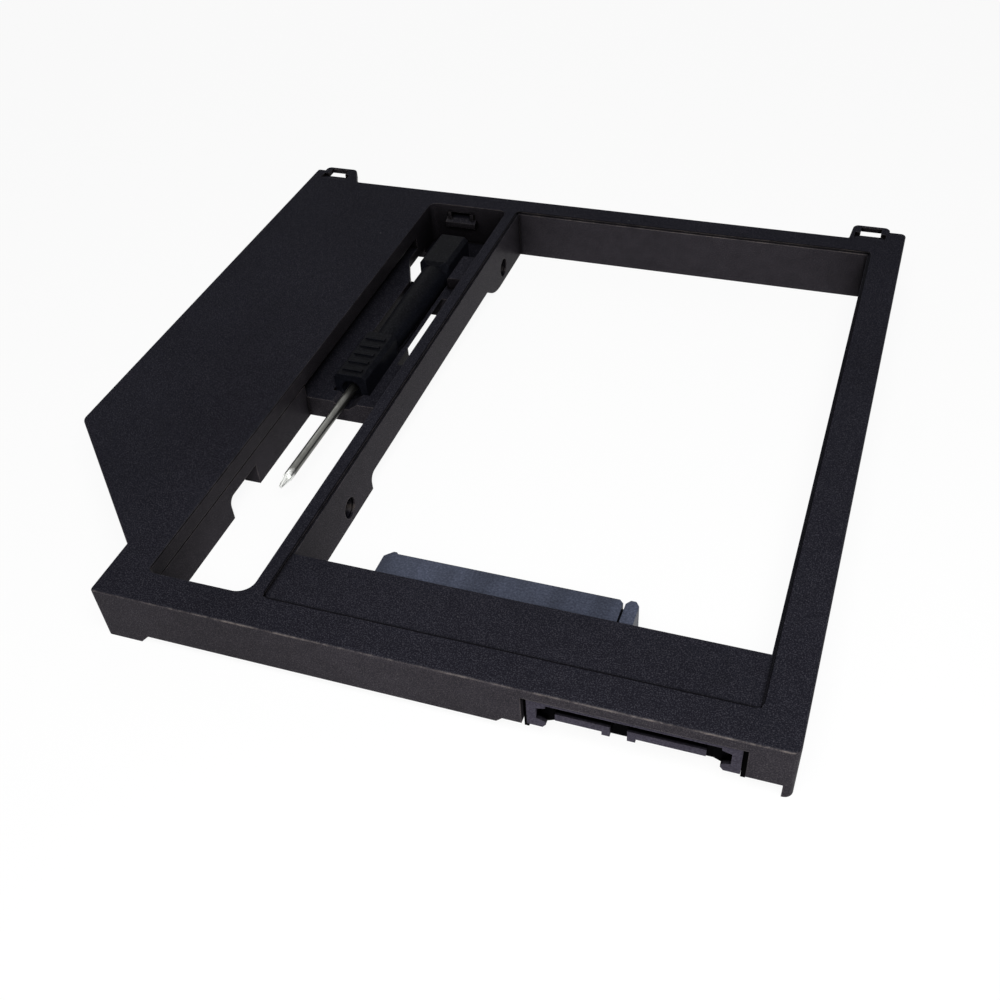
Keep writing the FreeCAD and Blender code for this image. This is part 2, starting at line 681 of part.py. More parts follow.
def board_screws():
    """Two pan-head screws, driven up from below through the board into the bosses."""
    screws = []
    for x, y in SCREW_POINTS:
        head = Part.makeCylinder(SCREW_HEAD_R, SCREW_HEAD_H, FreeCAD.Vector(x, y, BOARD_Z - SCREW_HEAD_H))
        rim = [e for e in head.Edges if e.Curve.TypeId == "Part::GeomCircle"
               and abs(e.Curve.Center.z - (BOARD_Z - SCREW_HEAD_H)) < 1e-6]
        head = head.makeFillet(SCREW_HEAD_H / 2, rim)
        shank = Part.makeCylinder(SCREW_R, SCREW_L, FreeCAD.Vector(x, y, BOARD_Z))
        screws.append(head.fuse(shank).removeSplitter())
    return Part.makeCompound(screws)


def capacitor(index):
    x = X_BAY + CAPACITOR_INSET + index * CAPACITOR_PITCH
    return block(x, x + CAPACITOR_L, CAPACITOR_Y, CAPACITOR_Y + CAPACITOR_W, BOARD_Z - CAPACITOR_H, BOARD_Z)


def contact(x, y_tip, y_rear, z_low):
    """Flat strip from the tip to the housing's rear face, up to the board and out in a foot."""
    away = 1 if y_rear > y_tip else -1
    outer = y_rear + away * CONTACT_T
    foot = outer + away * CONTACT_FOOT
    z_high = z_low + CONTACT_T
    strip = [(y_tip, z_low), (outer, z_low), (outer, BOARD_Z - CONTACT_T), (foot, BOARD_Z - CONTACT_T),
             (foot, BOARD_Z), (y_rear, BOARD_Z), (y_rear, z_high), (y_tip, z_high)]
    return side_prism(strip, x - CONTACT_W / 2, x + CONTACT_W / 2)


def row_of(centre, count, pitch):
    return [centre + (i - (count - 1) / 2) * pitch for i in range(count)]


# Drive socket
def socket_tongues():
    """Power and signal slot as (x0, x1), power on the left."""
    whole = POWER_TONGUE + TONGUE_GAP + SIGNAL_TONGUE
    inner = SOCKET_X0 + SOCKET_POST_W + (SOCKET_W - 2 * SOCKET_POST_W - SOCKET_POST_GAP - whole) / 2
    power = (inner, inner + POWER_TONGUE)
    signal = (power[1] + TONGUE_GAP, power[1] + TONGUE_GAP + SIGNAL_TONGUE)
    return power, signal


def socket_contact_xs():
    power, signal = socket_tongues()
    return (row_of(sum(power) / 2, POWER_PINS, SATA_PITCH), row_of(sum(signal) / 2, SIGNAL_PINS, SATA_PITCH))


def drive_socket_housing():
    power, signal = socket_tongues()
    post_x0 = SOCKET_X1 - SOCKET_POST_W
    main_x1 = post_x0 - SOCKET_POST_GAP
    post_end = SOCKET_MOUTH + SOCKET_POST_REACH
    bevel = SOCKET_POST_BEVEL
    outline = [
        (SOCKET_X0, SOCKET_REAR, 0),
        (SOCKET_X1, SOCKET_REAR, 0),
        (SOCKET_X1, post_end - bevel, 0.2),
        (SOCKET_X1 - bevel * 0.75, post_end, 0.2),
        (post_x0 + bevel * 0.75, post_end, 0.2),
        (post_x0, post_end - bevel, 0),
        (main_x1, post_end - bevel, 0),
        (main_x1 - bevel * 0.75, SOCKET_MOUTH, 0.2),
        (SOCKET_X0 + SOCKET_POST_W, SOCKET_MOUTH, 0),
        (SOCKET_X0 + SOCKET_POST_W - 0.3, SOCKET_MOUTH + SOCKET_LIP / 3, 0),
        (SOCKET_X0 + SOCKET_CORNER, SOCKET_MOUTH + SOCKET_LIP / 3, 0.4),
        (SOCKET_X0, SOCKET_MOUTH - SOCKET_CORNER + SOCKET_LIP / 3, 0.4),
    ]
    body = rounded_prism(outline, SOCKET_BOTTOM, BOARD_Z)
    y0 = SOCKET_MOUTH - MOUTH_DEPTH
    y1 = SOCKET_MOUTH + 2
    low = MOUTH_TOP - MOUTH_H
    cuts = [
        block(main_x1, post_x0, SOCKET_MOUTH - SOCKET_GROOVE_L, y1, BOARD_Z - SOCKET_GROOVE_D, BOARD_Z + 1),
        block(power[0], power[1], y0, y1, low, MOUTH_TOP),
        block(signal[0], signal[1], y0, y1, low, MOUTH_TOP),
        block(power[1] - KEY_W, power[1], y0, y1, low - KEY_H, MOUTH_TOP),
        block(signal[0], signal[0] + KEY_W, y0, y1, low - KEY_H, MOUTH_TOP),
    ]
    z0 = MOUTH_TOP - CONTACT_T
    for xs in socket_contact_xs():
        for x in xs:
            cuts.append(block(x - CONTACT_W / 2, x + CONTACT_W / 2, SOCKET_REAR - 1, y1, z0, MOUTH_TOP))
    return body.cut(cuts)


def socket_contact(x):
    return contact(x, SOCKET_MOUTH - TIP_SETBACK, SOCKET_REAR, MOUTH_TOP - CONTACT_T)


# Bay plug
def plug_tongues():
    """Power and signal tongue as (x0, x1), power on the left."""
    power = (PLUG_X0 + PLUG_TONGUE_INSET, PLUG_X0 + PLUG_TONGUE_INSET + SLIM_POWER_TONGUE)
    signal = (power[1] + SLIM_TONGUE_GAP, power[1] + SLIM_TONGUE_GAP + SIGNAL_TONGUE)
    return power, signal


def plug_contact_xs():
    power, signal = plug_tongues()
    clear_of_key = PLUG_KEY_W / 2
    return (row_of(sum(power) / 2 - clear_of_key, SLIM_POWER_PINS, SLIM_PITCH),
            row_of(sum(signal) / 2 + clear_of_key, SIGNAL_PINS, SATA_PITCH))


def ear(x_outer, x_inner):
    """One side of the plug: a post with two short arms, and a gusset set back between them."""
    side = 1 if x_inner > x_outer else -1
    y0 = PLUG_SETBACK
    y1 = PLUG_REAR - PLUG_BACK_T
    arm = x_inner + side * EAR_ARM
    notch = x_inner - side * EAR_NOTCH
    post = [(x_outer, PLUG_BOTTOM), (x_inner, PLUG_BOTTOM), (arm, PLUG_BOTTOM + EAR_ARM_T / 2),
            (arm, PLUG_BOTTOM + EAR_ARM_T), (notch, PLUG_BOTTOM + EAR_ARM_T + 0.5),
            (notch, PLUG_TOP - EAR_ARM_T - 0.4), (arm, PLUG_TOP - EAR_ARM_T), (arm, PLUG_TOP),
            (x_outer, PLUG_TOP)]
    gusset = [(x_inner - side * 0.5, PLUG_BOTTOM), (x_inner, PLUG_BOTTOM),
              (x_inner + side * GUSSET_W, PLUG_BOTTOM + GUSSET_RISE), (x_inner + side * GUSSET_W, PLUG_TOP),
              (x_inner - side * 0.5, PLUG_TOP)]
    return [front_prism(post, y0, y1), front_prism(gusset, y0 + EAR_SLOT_D, y1)]


def plug_tongue(span, key_at_right):
    x0, x1 = span
    y0 = PLUG_SETBACK + TONGUE_SETBACK
    y1 = PLUG_REAR - PLUG_BACK_T
    key_x = x1 - PLUG_KEY_W if key_at_right else x0
    return [
        block(x0, x1, y0, y1, TONGUE_Z, TONGUE_Z + TONGUE_T),
        block(key_x, key_x + PLUG_KEY_W, y0, y1, TONGUE_Z - PLUG_KEY_H, TONGUE_Z),
    ]


def bay_plug_housing():
    power, signal = plug_tongues()
    y_back = PLUG_REAR - PLUG_BACK_T
    pieces = [
        block(PLUG_X0, PLUG_X1, PLUG_SETBACK, PLUG_REAR, PLUG_TOP - PLUG_ROOF_T, PLUG_TOP),
        block(PLUG_X0, PLUG_X1, y_back, PLUG_REAR, PLUG_APRON_Z, PLUG_TOP),
    ]
    reach = PLUG_GAP - FLANGE_FIT
    for x0, x1 in ((PLUG_X0 - reach, PLUG_X0), (PLUG_X1, PLUG_X1 + reach)):
        pieces.append(block(x0, x1, FLANGE_SETBACK, PLUG_REAR, PLUG_APRON_Z, PLUG_TOP))
    pieces += ear(PLUG_X0, PLUG_X0 + EAR_W) + ear(PLUG_X1, PLUG_X1 - EAR_W)
    pieces += plug_tongue(power, True) + plug_tongue(signal, False)
    for x0, x1 in ((PLUG_X0, PLUG_X0 + EAR_W), (PLUG_X1 - EAR_W, PLUG_X1)):
        pieces.append(block(x0, x1, PLUG_REAR - 0.5, PLUG_REAR + PLUG_ARM_L, BOARD_Z - PLUG_ARM_T, BOARD_Z))
    body = fused(pieces)
    channels = []
    for xs in plug_contact_xs():
        for x in xs:
            channels.append(block(x - CONTACT_W / 2, x + CONTACT_W / 2, y_back, PLUG_REAR + 1,
                                  TONGUE_Z - CONTACT_T, TONGUE_Z))
    return body.cut(channels)


def plug_contact(x):
    return contact(x, PLUG_SETBACK + TONGUE_SETBACK + TIP_SETBACK, PLUG_REAR, TONGUE_Z - CONTACT_T)


# Screwdriver
def octagon(width, height, chamfer):
    """Corners (x, z) of a box section with cut corners, centred on the screwdriver's axis."""
    w = width / 2
    h = height / 2
    narrow = w - chamfer
    low = h - chamfer
    right = [(narrow, -h), (w, -low), (w, low), (narrow, h)]
    left = [(-x, z) for x, z in reversed(right)]
    return [(TOOL_X + x, TOOL_Z + z) for x, z in right + left]


def section_wire(corners, y):
    points = [FreeCAD.Vector(x, y, z) for x, z in corners]
    return Part.makePolygon(points + points[:1])


def turned(profile):
    """Solid of revolution about the screwdriver's axis from a spline or line profile of (y, r)."""
    (first_y, _), (last_y, _) = profile[0], profile[-1]
    curve = Part.BSplineCurve()
    curve.interpolate([FreeCAD.Vector(TOOL_X + r, y, TOOL_Z) for y, r in profile])
    start = FreeCAD.Vector(TOOL_X, first_y, TOOL_Z)
    end = FreeCAD.Vector(TOOL_X, last_y, TOOL_Z)
    outline = [
        Part.makeLine(start, curve.StartPoint),
        curve.toShape(),
        Part.makeLine(curve.EndPoint, end),
        Part.makeLine(end, start),
    ]
    face = Part.Face(Part.Wire(outline))
    return face.revolve(start, FreeCAD.Vector(0, 1, 0), 360)


def skewed(shape):
    """The screwdriver lies slightly turned in its bay."""
    turned_shape = shape.copy()
    turned_shape.rotate(FreeCAD.Vector(TOOL_X, GRIP_Y, 0), FreeCAD.Vector(0, 0, 1), -TOOL_SKEW)
    return turned_shape


def screwdriver_handle():
    grip_end = GRIP_Y + GRIP_L
    barrel_end = grip_end + BARREL_L
    head_start = barrel_end + SHOULDER_L
    head_end = head_start + HEAD_L
    along_y = FreeCAD.Vector(0, 1, 0)
    grip = front_prism(octagon(GRIP_W, GRIP_H, GRIP_CHAMFER), GRIP_Y, grip_end)
    middle = (grip_end + barrel_end) / 2
    far_r = BARREL_R + BARREL_SWELL
    barrel = turned([(grip_end - 1, BARREL_R), (grip_end, BARREL_R), (middle, (BARREL_R + 2 * far_r) / 3),
                     (barrel_end, far_r), (barrel_end + SHOULDER_L, far_r)])
    neck = 2 * far_r
    shoulder = Part.makeLoft([section_wire(octagon(neck, neck, neck * 0.29), barrel_end),
                              section_wire(octagon(HEAD_W, GRIP_H, HEAD_EDGE), head_start)], True, True)
    head = front_prism(octagon(HEAD_W, GRIP_H, HEAD_EDGE), head_start, head_end)
    far_edges = [e for e in head.Edges if all(abs(v.Point.y - head_end) < 1e-6 for v in e.Vertexes)]
    head = head.makeChamfer(HEAD_EDGE / 2, far_edges)
    bars = []
    for i in range(GRIP_BARS):
        y = GRIP_Y + GRIP_BAR_PITCH / 2 + i * GRIP_BAR_PITCH
        bars.append(block(TOOL_X - GRIP_BAR_W / 2, TOOL_X + GRIP_BAR_W / 2, y, y + GRIP_BAR_L,
                          TOOL_Z + GRIP_H / 2 - GRIP_BAR_H, TOOL_Z + GRIP_H / 2 + GRIP_BAR_H))
    handle = fused([grip, barrel, shoulder, head] + bars)
    front = FreeCAD.Vector(TOOL_X, GRIP_Y, TOOL_Z)
    collar = Part.makeCylinder(COLLAR_R, COLLAR_DEPTH, front, along_y)
    bore = Part.makeCylinder(SHAFT_R, SHAFT_IN, front, along_y)
    return skewed(handle.cut([collar, bore]))


def screwdriver_shaft():
    """Round shaft with a pointed cross tip, its back end held in the handle."""
    tip_y = GRIP_Y - SHAFT_OUT
    along_y = FreeCAD.Vector(0, 1, 0)
    cone = Part.makeCone(TIP_END_R, SHAFT_R, TIP_L, FreeCAD.Vector(TOOL_X, tip_y, TOOL_Z), along_y)
    rod = Part.makeCylinder(SHAFT_R, SHAFT_OUT - TIP_L + SHAFT_IN,
                            FreeCAD.Vector(TOOL_X, tip_y + TIP_L, TOOL_Z), along_y)
    shaft = cone.fuse(rod).removeSplitter()
    flutes = []
    inner = FLUTE_W / 2
    outer = 2 * SHAFT_R
    section = ((inner, inner), (outer, inner), (outer, outer), (inner, outer))
    corners = [(TOOL_X + x, TOOL_Z + z) for x, z in section]
    for turn in range(4):
        flute = front_prism(corners, tip_y - 1, tip_y + TIP_L)
        flute.rotate(FreeCAD.Vector(TOOL_X, tip_y, TOOL_Z), along_y, 90 * turn)
        flutes.append(flute)
    return skewed(shaft.cut(flutes))


def save(name, shape):
    moved = shape.copy()
    moved.translate(BASE_SHIFT)
    if not moved.isValid():
        raise ValueError(name + " is not a valid shape")
    moved.exportStep("parts/" + name + ".step")


os.makedirs("parts", exist_ok=True)
save("caddy_frame", caddy_frame())
save("adapter_board", adapter_board())
save("board_screws", board_screws())
for number in range(CAPACITORS):
    save(f"board_capacitor_{number + 1}", capacitor(number))
save("drive_socket_housing", drive_socket_housing())
socket_power_xs, socket_signal_xs = socket_contact_xs()
for number, place in enumerate(socket_power_xs, 1):
    save(f"socket_power_contact_{number:02d}", socket_contact(place))
for number, place in enumerate(socket_signal_xs, 1):
    save(f"socket_signal_contact_{number}", socket_contact(place))
save("bay_plug_housing", bay_plug_housing())
plug_power_xs, plug_signal_xs = plug_contact_xs()
for number, place in enumerate(plug_power_xs, 1):
    save(f"plug_power_contact_{number}", plug_contact(place))
for number, place in enumerate(plug_signal_xs, 1):
    save(f"plug_signal_contact_{number}", plug_contact(place))
save("screwdriver_handle", screwdriver_handle())
save("screwdriver_shaft", screwdriver_shaft())
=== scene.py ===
import json
import math

import bmesh
import bpy
from mathutils import Euler, Matrix, Vector


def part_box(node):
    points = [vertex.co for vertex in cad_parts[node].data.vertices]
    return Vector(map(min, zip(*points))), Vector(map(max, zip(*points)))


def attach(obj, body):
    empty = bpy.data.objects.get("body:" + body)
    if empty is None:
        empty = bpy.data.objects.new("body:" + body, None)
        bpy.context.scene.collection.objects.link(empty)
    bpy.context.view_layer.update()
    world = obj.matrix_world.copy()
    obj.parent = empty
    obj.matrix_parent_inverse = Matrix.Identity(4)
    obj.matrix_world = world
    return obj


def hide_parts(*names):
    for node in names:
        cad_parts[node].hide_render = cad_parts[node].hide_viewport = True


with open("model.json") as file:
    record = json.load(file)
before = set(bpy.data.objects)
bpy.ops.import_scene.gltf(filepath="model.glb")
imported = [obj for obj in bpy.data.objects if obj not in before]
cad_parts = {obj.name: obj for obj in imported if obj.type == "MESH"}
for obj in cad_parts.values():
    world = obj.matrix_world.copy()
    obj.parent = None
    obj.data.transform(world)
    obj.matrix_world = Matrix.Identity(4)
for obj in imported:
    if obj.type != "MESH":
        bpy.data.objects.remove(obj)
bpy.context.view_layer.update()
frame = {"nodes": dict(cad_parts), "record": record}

MM = 0.001

# The photograph's camera
CAMERA_PLACE = (0.06188, -0.15263, 0.12479)
CAMERA_TURN = (43.601, 3.187, 18.993)
CAMERA_LENS = 40.914
CAMERA_SHIFT = (-0.0043, 0.0999)

# The table and the light
TABLE_HALF = 1.6
TABLE_COLOUR = (0.93, 0.93, 0.93)
TABLE_GLOW = 0.92
WORLD_STRENGTH = 0.07
DESK_LAMP_PLACE = (0.07, -0.15, 0.19)
DESK_LAMP_TARGET = (0.03, -0.04, 0)
DESK_LAMP_SIZE = (0.18, 0.18)
DESK_LAMP_ENERGY = 0.62
CEILING_PLACE = (0.1, -0.3, 0.8)
CEILING_SIZE = (0.8, 0.5)
CEILING_ENERGY = 0.6
BACK_FILL_PLACE = (-0.2, 0.42, 0.28)
BACK_FILL_SIZE = (0.3, 0.3)
BACK_FILL_ENERGY = 0.35

# Colours of the finishes, linear
# The speck colours also colour the pale edges, which are partly wear and partly painted highlight
FRAME_DARK = (0.0105, 0.0105, 0.0152)
FRAME_SPECK_AND_EDGE_HIGHLIGHT = (0.062, 0.06, 0.07)
# Walls are painted lighter and warmer than the flat top, as the light falls on them
FRAME_WALL_PAINTED_LIGHT = (2.75, 2.5, 2.1)
PLUG_DARK = (0.047, 0.043, 0.058)
PLUG_SPECK_AND_EDGE_HIGHLIGHT = (0.09, 0.084, 0.1)
SOCKET_DARK = (0.04, 0.046, 0.068)
SOCKET_SPECK_AND_EDGE_HIGHLIGHT = (0.07, 0.078, 0.105)
HANDLE_DARK = (0.0056, 0.0058, 0.0072)
HANDLE_SPECK_AND_EDGE_HIGHLIGHT = (0.022, 0.022, 0.026)
# The handle's walls are painted a little cooler than its flat faces
HANDLE_WALL_PAINTED_TINT = (0.9, 0.95, 1.1)
# Painted highlight on the top front corner
CORNER_HIGHLIGHT = (0.17, 0.16, 0.17)
DUST_GREY = (0.2, 0.2, 0.2)
MASK_GREEN = (0.008, 0.055, 0.022)
TRACE_GREEN = (0.02, 0.13, 0.05)
LAMINATE_EDGE = (0.19, 0.17, 0.075)
STEEL = (0.15, 0.15, 0.14)
DULL_STEEL = (0.06, 0.06, 0.055)
BRIGHT_STEEL = (0.78, 0.79, 0.77)
PLATED_STEEL = (0.55, 0.56, 0.58)
DULL_PLATING = (0.33, 0.33, 0.36)
GOLD = (0.83, 0.6, 0.27)
DULL_GOLD = (0.5, 0.34, 0.15)
TIN = (0.6, 0.61, 0.62)
DULL_TIN = (0.34, 0.34, 0.35)
CERAMIC = (0.33, 0.21, 0.11)
DARK_CERAMIC = (0.24, 0.15, 0.08)

# The shallow recess over the bay and the bridge, seen from above
RECESS_MIDDLE = (22.025 * MM, -2.125 * MM)
RECESS_HALF = (35.625 * MM, 57.475 * MM)
RECESS_CORNER = 1.2 * MM
# Width of the painted shadow line along the recess's step
RECESS_SHADOW_LINE_W = 0.13 * MM

# Depths behind the plug's front faces over which a painted shade darkens the plug towards black
PLUG_SHADE_START = 0.3 * MM
PLUG_SHADE_END = 0.7 * MM

# Distances from the screwdriver's tip over which the bright ground steel gives way to the dark, and how
# far that line wanders
GROUND_FADE_FAR = 5.4 * MM
GROUND_FADE_NEAR = 4.0 * MM
GROUND_RAGGED = 2.4 * MM

# The top plate's thickness, and the ejector pins' places in mm from the frame's left front corner
PLATE_T = 1.5 * MM
WING_PIN_XS = (7.0, 18.0)
WING_PIN_YS = (47.0, 72.0, 95.0, 114.0)
BAR_PIN_XS = (58.0, 112.0)
BAR_PIN_Y = 3.8

# Board screws; the profile's radii and heights and the blade's half sizes and heights are in mm
SCREW_HEAD_R = 1.7 * MM
SCREW_HEAD_H = 0.8 * MM
SCREW_PROFILE = [(0, -0.8), (0.8, -0.79), (1.25, -0.72), (1.55, -0.52), (1.68, -0.3), (1.7, -0.04),
                 (1.66, 0.0), (0.8, 0.0), (0.8, 2.45), (0.65, 2.6), (0, 2.6)]
SCREW_STEPS = 40
BLADE_MOUTH = (1.0, 0.17, -1.0)
BLADE_FLOOR = (0.35, 0.1, -0.22)


# Nodes
def add(tree, kind, place=(0, 0), **settings):
    node = tree.nodes.new(kind)
    node.location = place
    for key, value in settings.items():
        setattr(node, key, value)
    return node


def socket_of(sockets, identifier):
    return next(s for s in sockets if s.identifier == identifier)


def new_material(name):
    material = bpy.data.materials.new(name)
    material.use_nodes = True
    material.node_tree.nodes.clear()
    return material


def new_group(name, inputs, outputs):
    """Shader node group with named float or colour inputs; returns the tree and its two end nodes."""
    tree = bpy.data.node_groups.new(name, "ShaderNodeTree")
    for title, value in inputs.items():
        kind = "NodeSocketColor" if isinstance(value, tuple) else "NodeSocketFloat"
        socket = tree.interface.new_socket(title, in_out="INPUT", socket_type=kind)
        socket.default_value = (*value, 1) if isinstance(value, tuple) else value
    for title, kind in outputs.items():
        tree.interface.new_socket(title, in_out="OUTPUT", socket_type="NodeSocket" + kind)
    return tree, add(tree, "NodeGroupInput", (-1400, 0)), add(tree, "NodeGroupOutput", (1000, 0))


def put(tree, value, socket):
    """Link a socket to the given one, or set the given one to a plain value."""
    if isinstance(value, bpy.types.NodeSocket):
        tree.links.new(value, socket)
    else:
        socket.default_value = value


def joined(tree, first, second, kind="ADD", place=(0, 0), clamp=False):
    """Math node over two sockets or plain numbers."""
    node = add(tree, "ShaderNodeMath", place, operation=kind, use_clamp=clamp)
    put(tree, first, node.inputs[0])
    put(tree, second, node.inputs[1])
    return node.outputs[0]


def product(tree, first, second, place=(0, 0), clamp=False):
    return joined(tree, first, second, "MULTIPLY", place, clamp)


def vector_step(tree, kind, first, second, place=(0, 0)):
    """Vector node over two sockets or plain vectors; its outputs are Vector and Value."""
    node = add(tree, "ShaderNodeVectorMath", place, operation=kind)
    put(tree, first, node.inputs[0])
    if second is not None:
        put(tree, second, node.inputs[1])
    return node


def scaled(tree, vector, factor, place=(0, 0)):
    node = vector_step(tree, "SCALE", vector, None, place)
    put(tree, factor, node.inputs["Scale"])
    return node.outputs[0]


def spread(tree, value, low, high, to_low=0.0, to_high=1.0, place=(0, 0)):
    node = add(tree, "ShaderNodeMapRange", place)
    tree.links.new(value, node.inputs["Value"])
    for title, number in (("From Min", low), ("From Max", high), ("To Min", to_low), ("To Max", to_high)):
        node.inputs[title].default_value = number
    return node.outputs["Result"]


def mixed(tree, share, first, second, place=(0, 0)):
    """Colour mix; share and either colour may be a socket or a plain value."""
    node = add(tree, "ShaderNodeMix", place, data_type="RGBA")
    for identifier, value in (("Factor_Float", share), ("A_Color", first), ("B_Color", second)):
        colour = (*value, 1) if isinstance(value, tuple) else value
        put(tree, colour, socket_of(node.inputs, identifier))
    return socket_of(node.outputs, "Result_Color")


def between(tree, share, first, second, place=(0, 0)):
    """Number between two others; each of the three may be a socket or a plain value."""
    node = add(tree, "ShaderNodeMix", place, data_type="FLOAT")
    for identifier, value in (("Factor_Float", share), ("A_Float", first), ("B_Float", second)):
        put(tree, value, socket_of(node.inputs, identifier))
    return socket_of(node.outputs, "Result_Float")


def stretched(tree, coordinates, scale, place):
    node = add(tree, "ShaderNodeMapping", place)
    node.inputs["Scale"].default_value = scale
    tree.links.new(coordinates.outputs["Object"], node.inputs["Vector"])
    return node.outputs[0]


def noise(tree, vector, scale, detail, roughness=0.55, place=(0, 0)):
    node = add(tree, "ShaderNodeTexNoise", place)
    tree.links.new(vector, node.inputs["Vector"])
    put(tree, scale, node.inputs["Scale"])
    node.inputs["Detail"].default_value = detail
    node.inputs["Roughness"].default_value = roughness
    return node.outputs["Fac"]


def axis_of(tree, vector, axis, place):
    node = add(tree, "ShaderNodeSeparateXYZ", place)
    tree.links.new(vector, node.inputs[0])
    return node.outputs[axis]


def raised(tree, height, under, place):
    """Bump of the given height in metres, over a normal where there is one."""
    bump = add(tree, "ShaderNodeBump", place)
    bump.inputs["Distance"].default_value = 1.0
    tree.links.new(height, bump.inputs["Height"])
    if under is not None:
        tree.links.new(under, bump.inputs["Normal"])
    return bump.outputs[0]


def rounded_normal(tree, radius, place):
    bevel = add(tree, "ShaderNodeBevel", place, samples=4)
    put(tree, radius, bevel.inputs["Radius"])
    return bevel.outputs[0]


# Effects that several materials share
def flat_mask(tree, coordinates, place=(-1000, -600)):
    """1 on faces that lie flat, 0 on walls."""
    x, y = place
    upright = axis_of(tree, coordinates.outputs["Normal"], "Z", place)
    flat = joined(tree, upright, 0.0, "ABSOLUTE", (x + 180, y))
    return spread(tree, flat, 0.55, 0.9, place=(x + 360, y))


def grain_tone(tree, start, here, flat, fine, blotch):
    """Dark plastic with paler specks, most of them on flat faces, and slow changes of level."""
    broad = noise(tree, here, 34.0, 2.0, 0.5, (-1000, 0))
    specks = spread(tree, fine, 0.5, 0.72, place=(-700, 500))
    grains = spread(tree, fine, 0.32, 0.68, 0.72, 1.3, (-700, 350))
    share = product(tree, specks, start.outputs["Speck Amount"], (-500, 500), True)
    share = product(tree, share, spread(tree, flat, 0.0, 1.0, 0.35, 1.0, (-500, 350)), (-350, 500), True)
    tone = mixed(tree, share, start.outputs["Dark"], start.outputs["Speck"], (-150, 500))
    level = spread(tree, broad, 0.3, 0.7, 0.88, 1.14, (-500, 0))
    level = product(tree, level, spread(tree, blotch, 0.3, 0.7, 0.9, 1.1, (-500, 150)), (-300, 50))
    level = product(tree, level, grains, (-150, 150))
    return scaled(tree, tone, level, (50, 400))


def worn_and_highlit_corners(tree, start, here, tone, blotch, rounded):
    """Rounded corners turn a little paler, partly as wear and partly as painted highlight, and the top front
    corner takes the palest painted highlight, in broken patches.
    """
    geometry = add(tree, "ShaderNodeNewGeometry", (-1400, -900))
    # Pale rounded edges: partly wear, partly painted highlight
    turn = vector_step(tree, "DOT_PRODUCT", rounded, geometry.outputs["Normal"], (-800, -900))
    edge = spread(tree, turn.outputs["Value"], 0.995, 0.86, place=(-600, -900))
    patchy = spread(tree, blotch, 0.35, 0.62, 0.25, 1.0, (-600, -700))
    wear = product(tree, edge, patchy, (-400, -800))
    wear = product(tree, wear, start.outputs["Edge Wear And Highlight"], (-200, -800), True)
    worn_and_highlit = mixed(tree, wear, tone, start.outputs["Speck"], (250, 400))

    # Painted highlight on rounded corners that face forward and up
    forward = vector_step(tree, "DOT_PRODUCT", rounded, (0.0, -0.707, 0.707), (-800, -1250))
    corner = spread(tree, forward.outputs["Value"], 0.9, 0.98, place=(-600, -1250))
    patches = noise(tree, here, 260.0, 4.0, 0.7, (-1000, -1400))
    patches = spread(tree, patches, 0.45, 0.6, 0.1, 1.0, (-600, -1400))
    front_highlight = product(tree, corner, patches, (-400, -1300))
    front_highlight = product(tree, front_highlight, start.outputs["Front Highlight"], (-200, -1300), True)
    return mixed(tree, front_highlight, worn_and_highlit, CORNER_HIGHLIGHT, (300, 550))


def shut_in(tree, reach, low, high, place):
    """How far the piece's own walls shut a point in: 0 in the open, 1 deep inside."""
    x, y = place
    open_share = add(tree, "ShaderNodeAmbientOcclusion", place, samples=4, only_local=True)
    put(tree, reach, open_share.inputs["Distance"])
    return spread(tree, open_share.outputs["AO"], low, high, place=(x + 200, y))


def painted_shade_level(tree, start, flat):
    """Painted shade: fine creases and deep pits are darkened in the colour, and flat faces take their own
    painted level.
    """
    hidden = shut_in(tree, 0.7 * MM, 0.95, 0.62, (-400, -1100))
    hidden = product(tree, hidden, start.outputs["Crease Shade"], (0, -1100), True)
    deep = shut_in(tree, start.outputs["Pit Reach"], 0.85, 0.4, (-400, -1550))
    deep = product(tree, deep, start.outputs["Pit Shade"], (0, -1550), True)
    deep = product(tree, deep, spread(tree, flat, 0.0, 1.0, 1.0, 0.6, (0, -1700)), (100, -1650))
    out_of_crease = joined(tree, 1.0, hidden, "SUBTRACT", (150, -1000))
    out_of_pit = joined(tree, 1.0, deep, "SUBTRACT", (150, -1550))
    light = product(tree, out_of_crease, out_of_pit, (300, -1100))
    flat_painted_level = between(tree, flat, 1.0, start.outputs["Flat Painted Level"], (150, -1250))
    return product(tree, light, flat_painted_level, (450, -1100))


def dust_specks(tree, start, here, flat):
    """Sparse dust on flat faces."""
    cells = add(tree, "ShaderNodeTexVoronoi", (-1000, -300))
    tree.links.new(here, cells.inputs["Vector"])
    cells.inputs["Scale"].default_value = 190.0
    dots = spread(tree, cells.outputs["Distance"], 0.035, 0.012, place=(-750, -300))
    pick = add(tree, "ShaderNodeSeparateColor", (-750, -450))
    tree.links.new(cells.outputs["Color"], pick.inputs[0])
    some = spread(tree, pick.outputs[0], 0.62, 0.66, place=(-550, -450))
    dust = product(tree, product(tree, dots, some, (-350, -350)), flat, (-200, -350))
    return product(tree, dust, start.outputs["Dust"], (-50, -350), True)


